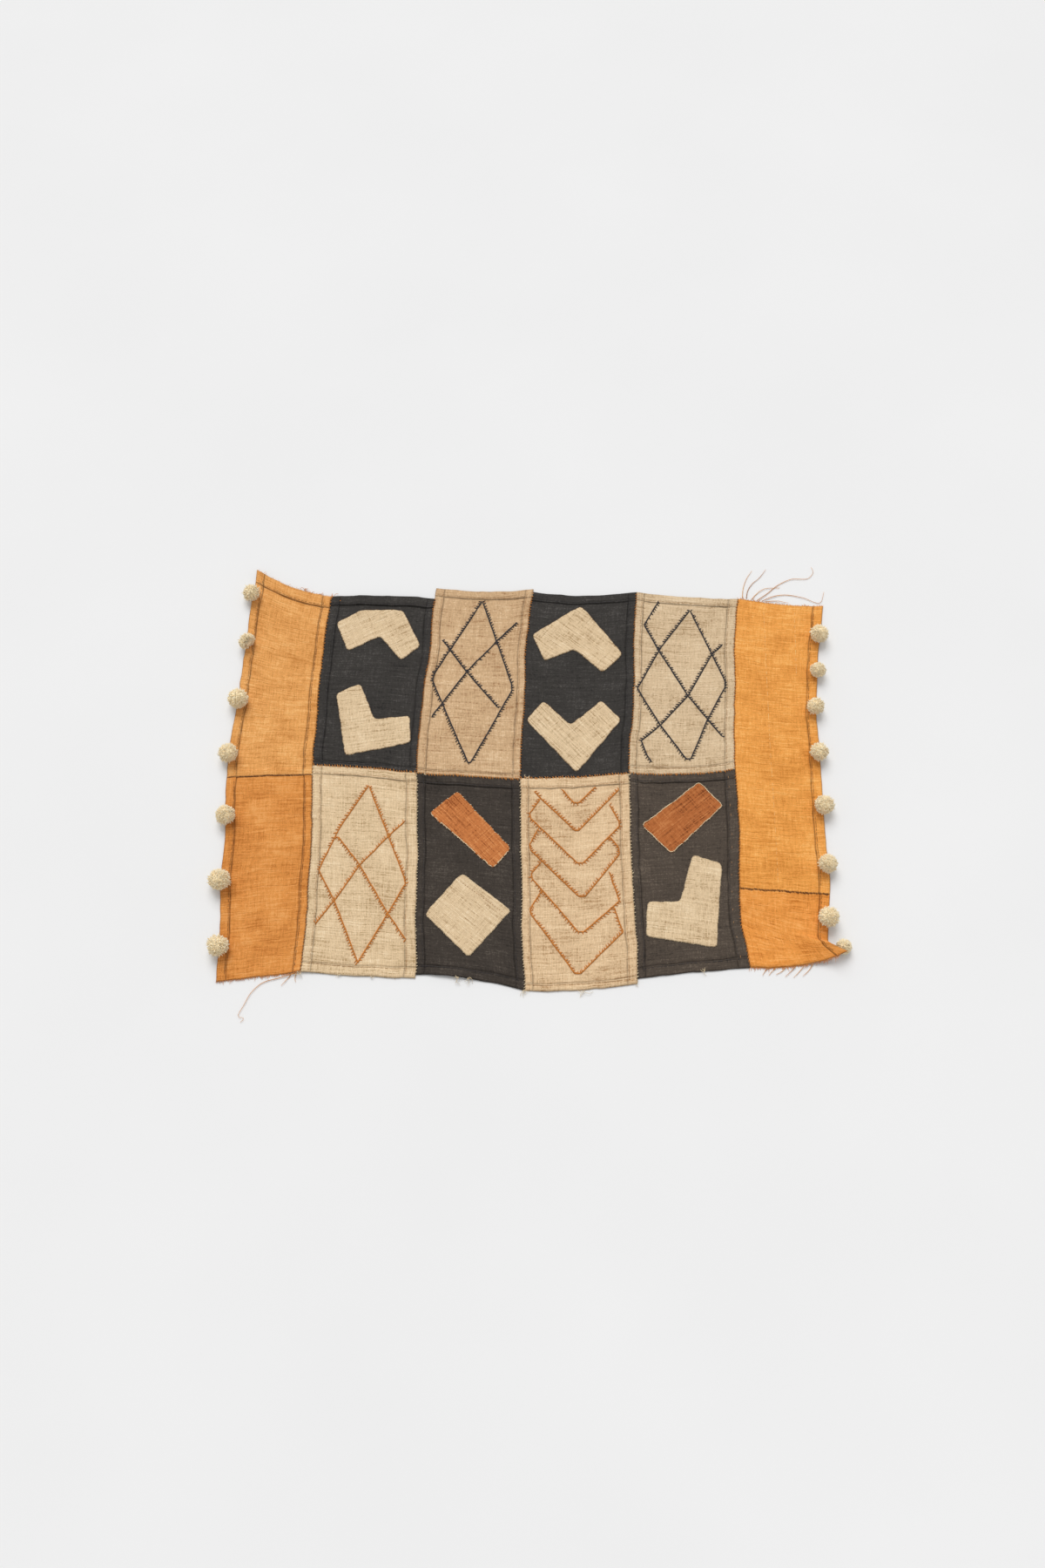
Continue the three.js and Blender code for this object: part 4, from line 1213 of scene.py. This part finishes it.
def sew_upright_seams():
    """Stitches over the seams between columns."""
    for line, start, end, left, right, thread, spacing in UPRIGHT_SEAMS:
        marks = np.arange(start, end, spacing)
        marks = marks + chance.uniform(-0.8, 0.8, len(marks))
        reach = chance.uniform(0.7, 1.8, (2, len(marks)))
        a, b = cloths[left], cloths[right]
        _, v_left = a.find(upright(line, marks), marks)
        near = a.over(1 - reach[0] / a.width, v_left)
        edge_v = np.linspace(0, 1, SEAM_SAMPLES)
        edge = b.over(np.zeros(SEAM_SAMPLES), edge_v)
        apart = np.linalg.norm(near[:, None, :2] - edge[None, :, :2], axis=-1)
        v_right = edge_v[np.argmin(apart, axis=1)]
        slip = chance.uniform(0.2, 1.8, len(marks)) / b.height
        far = b.over(reach[1] / b.width, np.clip(v_right + slip, 0, 1))
        whip(near, far, thread, UPRIGHT_WHIP)


def sew_cross_seams():
    """Stitches over the seams between the upper and lower cloths."""
    for upper, lower, thread, spacing, least, most, slant_least, slant_most in CROSS_SEAMS:
        a, b = cloths[upper], cloths[lower]
        marks = np.arange(2, a.width - 2, spacing)
        marks = marks + chance.uniform(-1.1, 1.1, len(marks))
        reach = chance.uniform(least, most, (2, len(marks)))
        near = a.over(marks / a.width, reach[0] / a.height)
        lean = (marks + chance.uniform(slant_least, slant_most, len(marks))) / a.width
        far = b.over(np.clip(lean, 0, 1), 1 - reach[1] / b.height)
        whip(near, far, thread, CROSS_WHIP)


# Frayed edges: cloth, side 2 low or 3 top, from and to share of it, spacing, least and most length, radius.
FRAYS = [
    ("side_left_upper", 3, 0.0, 1.0, 0.8, 0.8, 3.2, 0.35),
    ("side_left_lower", 2, 0.0, 1.0, 0.8, 1.2, 4.6, 0.38),
    ("side_right_upper", 3, 0.0, 1.0, 0.7, 1.0, 4.2, 0.38),
    ("side_right_lower", 2, 0.0, 0.93, 0.7, 1.2, 4.4, 0.38),
    ("panel_lower_1", 2, 0.05, 0.95, 5, 0.8, 2.2, 0.25),
    ("panel_lower_3", 2, 0.05, 0.95, 4, 0.8, 2.4, 0.25),
]


def fray(cloth, side, start, end, spacing, least, most, radius):
    """Short yarn ends along a raw edge."""
    u = np.arange(start, end, spacing / cloth.width)
    u = np.clip(u + chance.uniform(-0.4, 0.4, len(u)) * spacing / cloth.width, 0.002, 0.998)
    v = np.full(u.shape, 0.003 if side == 2 else 0.997)
    roots = cloth.over(u, v)
    roots[:, 2] -= 0.45
    sign = -1 if side == 2 else 1
    reach = chance.uniform(least, most, len(u)) * np.where(chance.random(len(u)) < 0.12, 1.7, 1)
    sway = chance.normal(0, 0.35, len(u))
    curl = chance.normal(0, 0.3, len(u))
    steps = []
    for t in (-0.25, 0.3, 0.65, 1):
        step = roots.copy()
        step[:, 0] += reach * (sway * t + curl * t * t)
        step[:, 1] += sign * reach * t
        step[:, 2] = np.maximum(roots[:, 2] - 0.5 * t * np.maximum(roots[:, 2] - 0.4, 0), 0.35)
        steps.append(step)
    frays[cloth.look].add(np.stack(steps, axis=1), radius * np.array([[1, 0.9, 0.7, 0.35]]), sides=3)


def fray_edges():
    """Yarn ends of the raw edges."""
    for name, *edge in FRAYS:
        frays[cloths[name].look] = Threads()
        fray(cloths[name], *edge)


# Small tufts of thread at seam ends, by thread: x, y, strands, length, bearing in degrees.
TUFTS = {
    "pale_thread": [
        (-146, 17, 5, 7, 250), (7, 10, 6, 6, 300), (159, 15, 5, 6, 260), (-313, -292, 5, 12, 215),
        (-90, -299, 5, 12, 190), (-78, -300, 4, 9, 345), (2, -316, 5, 11, 200), (163, -301, 4, 10, 225),
        (86, -317, 4, 13, 262), (259, -288, 4, 10, 200), (-216, -296, 3, 10, 320),
        (-256, -294, 3, 9, 230), (15, 322, 5, 6, 60),
    ],
    "orange_thread": [
        (-296, 318, 12, 9, 200), (-288, 312, 8, 8, 330), (-306, 317, 9, 8, 250),
        (-318, 321, 8, 7, 40), (-332, 326, 7, 7, 230), (-344, 331, 6, 8, 60),
    ],
}
TUFT_RADII = np.array([[0.35, 0.35, 0.3, 0.2]])


def tuft(x, y, strands, length, bearing, thread):
    """A few bowed strands from one spot."""
    turn = np.radians(bearing + chance.normal(0, 45, strands))
    bow = chance.normal(0, 1.3, strands)
    reach = length * chance.uniform(0.5, 1.1, strands)
    base = float(ground(x, y)) + 1.6
    steps = []
    for t in (0, 0.35, 0.7, 1):
        heading = turn + bow * t
        height = base + 1.5 * math.sin(math.pi * t) - (base - 0.6) * t * t * 0.8
        steps.append(np.stack([
            x + chance.normal(0, 0.5, strands) * 0.3 + np.cos(heading) * reach * t,
            y + np.sin(heading) * reach * t,
            np.full(strands, height),
        ], axis=-1))
    threads[thread].add(np.stack(steps, axis=1), TUFT_RADII)


def tie_tufts():
    """The tufts at the seam ends."""
    for thread, rows in TUFTS.items():
        for row in rows:
            tuft(*row, thread)


def place_threads():
    """Join the stitches of each thread, and the fray of each weave, as one piece."""
    for name, collect in threads.items():
        if collect.total:
            dress(collect.build("stitches_" + name), thread_look(name))
    for name, collect in frays.items():
        pale, middle, dark = (linear(colour) for colour in LOOKS[name])
        look = fibre("fray_" + name + "_look", [(0.1, dark), (0.5, middle), (0.95, pale)])
        dress(collect.build("fray_" + name), look)


# Pompoms: flattening, fibres, their radii, core size, share of the ball over its seat, floor clearance.
POMPOM_SQUASH = 0.86
POMPOM_FIBRES = 1050
POMPOM_RADII = np.array([[0.5, 0.62, 0.68, 0.62]])
POMPOM_CORE = 0.78
POMPOM_SIT = 0.92
POMPOM_CLEAR = 0.25
# Their tones by place and colour.
POMPOM_STOPS = [
    (0.1, (240, 196, 140)), (0.35, (255, 230, 184)), (0.6, (255, 240, 204)), (0.95, (255, 248, 228)),
]
# The second left pompom is partly tucked under the hem: which way, how far out it shows, and its core.
TUCKED = ("left", 2)
TUCK_WAY = np.array([0.72, -0.69, 0])
TUCK_DEPTH = 0.35
TUCK_CORE = 0.45


def pompom_paths(x, centre, radius, bottom, cloth_side, tucked):
    """Fibres of a cut raffia pompom, from its core out to a ragged ball."""
    count = POMPOM_FIBRES
    turn = chance.random(count) * 2 * math.pi
    level = chance.uniform(-1, 1, count)
    flat = np.sqrt(1 - level ** 2)
    way = np.stack([flat * np.cos(turn), flat * np.sin(turn), level], axis=-1)
    bend = chance.normal(0, 0.09, (count, 3))
    lump = fine(turn * 9 + radius * 40, level * 30, 8)
    reach = radius * (0.82 + 0.1 * lump + chance.uniform(0, 0.06, count))
    if tucked:
        beyond = np.maximum(way @ TUCK_WAY, 1e-3)
        reach = np.minimum(reach, np.maximum(TUCK_DEPTH * radius / beyond, 0.4 * radius))
    steps = []
    for t in (0.6, 0.75, 0.88, 1):
        step = centre + (way + bend * t * t) * (reach * t)[:, None] * np.array([1, 1, POMPOM_SQUASH])
        inside_edge = (step[:, 0] - x) * cloth_side > -2
        step[:, 2] = np.maximum(step[:, 2], np.where(inside_edge, bottom + POMPOM_CLEAR, 0.6))
        steps.append(step)
    return np.stack(steps, axis=1)


def make_pompoms():
    """The pompoms on the side hems."""
    look = fibre("pompom_fibre", [(place, linear(colour)) for place, colour in POMPOM_STOPS], 0.4, 0.1)
    for side, spots in POMPOMS.items():
        for number, (x, y, radius) in enumerate(spots, 1):
            corner = side == "right" and number == len(spots)
            tucked = (side, number) == TUCKED
            bottom = 0.5 if corner else CLOTH + HEM + 0.9
            centre = np.array([x, y, bottom + radius * POMPOM_SQUASH * POMPOM_SIT])
            ball = Threads()
            paths = pompom_paths(x, centre, radius, bottom, 1 if side == "left" else -1, tucked)
            ball.add(paths, POMPOM_RADII, sides=3, flat=0.9)
            core = TUCK_CORE if tucked else POMPOM_CORE
            ball.add_ball(centre, core * radius, POMPOM_SQUASH, bottom + POMPOM_CLEAR)
            node = "pompom_{}_{}".format(side, number)
            dress(ball.build(node + "_look"), look, node)


# Points along a loose end, and its tones by place and colour.
LOOSE_STEPS = 26
LOOSE_STOPS = [(0.1, (150, 92, 40)), (0.45, (204, 140, 72)), (0.9, (236, 190, 128))]


def curve_through(points, count):
    """A smooth line through points."""
    points = np.asarray(points, float)
    run = np.concatenate([[0], np.cumsum(np.linalg.norm(np.diff(points, axis=0), axis=1))])
    slopes = np.gradient(points, run, axis=0)
    marks = np.linspace(0, run[-1], count)
    spot = np.clip(np.searchsorted(run, marks) - 1, 0, len(run) - 2)
    gap = (run[spot + 1] - run[spot])[:, None]
    t = (marks - run[spot])[:, None] / gap
    return between(points[spot], points[spot + 1], slopes[spot], slopes[spot + 1], gap, t)


def lay_loose_ends():
    """Long raffia ends that run off the edges to the floor."""
    look = fibre("loose_end", [(place, linear(colour)) for place, colour in LOOSE_STOPS])
    share = np.linspace(0, 1, LOOSE_STEPS)
    off_cloth = smooth(share * 4)
    width = np.linspace(0.75, 0.3, LOOSE_STEPS)[None]
    for node, strands in LOOSE_ENDS.items():
        ends = Threads()
        for strand in strands:
            plan = curve_through(strand, LOOSE_STEPS)
            wave = 1.5 * wander(share * 60, strand[0][0], 12)
            on_cloth = 1.5 + ground(plan[:, 0], plan[:, 1])
            height = on_cloth * (1 - off_cloth) + (0.5 + wave) * off_cloth
            ends.add(np.column_stack([plan, height])[None], width, sides=4, flat=0.5)
        dress(ends.build(node + "_look"), look, node)


# The floor's side and depth under the cloth, in metres.
FLOOR_SIZE = 80.0
FLOOR_DEPTH = 0.0004
# Surroundings: height of the view and brightness there.
ROOM_STOPS = [(0.04, 0.86), (0.55, 0.5)]
# One soft sun: energy, width and turn.
SUN_ENERGY = 1.84
SUN_ANGLE = math.radians(40)
SUN_TURN = (math.radians(-36), math.radians(-8), 0)
# The camera looks down at 67 degrees from in front, with its aim at the middle of the picture.
CAMERA_PITCH = math.radians(67)
CAMERA_AWAY = 2.275
CAMERA_LENS = 35
CAMERA_SENSOR = 36


def lay_floor():
    """The pale floor under the cloth."""
    bpy.ops.mesh.primitive_plane_add(size=FLOOR_SIZE, location=(0, 0, -FLOOR_DEPTH))
    floor = bpy.context.object
    floor.name = "floor"
    floor.data.materials.append(floor_look())


def light_room():
    """Pale surroundings, brighter near the horizon, with one soft light from beyond the cloth."""
    world = bpy.data.worlds.new("pale_room")
    world.use_nodes = True
    nodes = world.node_tree.nodes
    links = world.node_tree.links
    place = nodes.new("ShaderNodeTexCoord")
    parts = nodes.new("ShaderNodeSeparateXYZ")
    ramp = nodes.new("ShaderNodeValToRGB")
    for element, (height, bright) in zip(ramp.color_ramp.elements, ROOM_STOPS):
        element.position = height
        element.color = (bright, bright, bright, 1)
    links.new(place.outputs["Generated"], parts.inputs[0])
    links.new(parts.outputs[2], ramp.inputs[0])
    links.new(ramp.outputs[0], nodes["Background"].inputs[0])
    nodes["Background"].inputs[1].default_value = 1.0
    bpy.context.scene.world = world
    lamp = bpy.data.lights.new("soft_sun", "SUN")
    lamp.energy = SUN_ENERGY
    lamp.angle = SUN_ANGLE
    holder = bpy.data.objects.new("soft_sun", lamp)
    bpy.context.scene.collection.objects.link(holder)
    holder.rotation_euler = SUN_TURN
    bpy.context.scene.view_settings.view_transform = "Standard"


def place_camera():
    """The camera of the main picture."""
    camera = bpy.data.cameras.new("camera")
    camera.lens = CAMERA_LENS
    camera.sensor_width = CAMERA_SENSOR
    holder = bpy.data.objects.new("camera", camera)
    bpy.context.scene.collection.objects.link(holder)
    aim = -MIDDLE * MM
    back = CAMERA_AWAY * math.cos(CAMERA_PITCH)
    holder.location = (aim[0], aim[1] - back, CAMERA_AWAY * math.sin(CAMERA_PITCH))
    holder.rotation_euler = (math.pi / 2 - CAMERA_PITCH, 0, 0)
    bpy.context.scene.camera = holder


cloths = {row[0]: Cloth(*row) for row in CLOTHS}
threads = {name: Threads() for name in THREADS}
frays = {}

weave_cloths()
sew_patches()
sew_embroidery()
sew_lozenge()
sew_hems()
sew_upright_seams()
sew_cross_seams()
fray_edges()
tie_tufts()
place_threads()
make_pompoms()
lay_loose_ends()
lay_floor()
light_room()
place_camera()
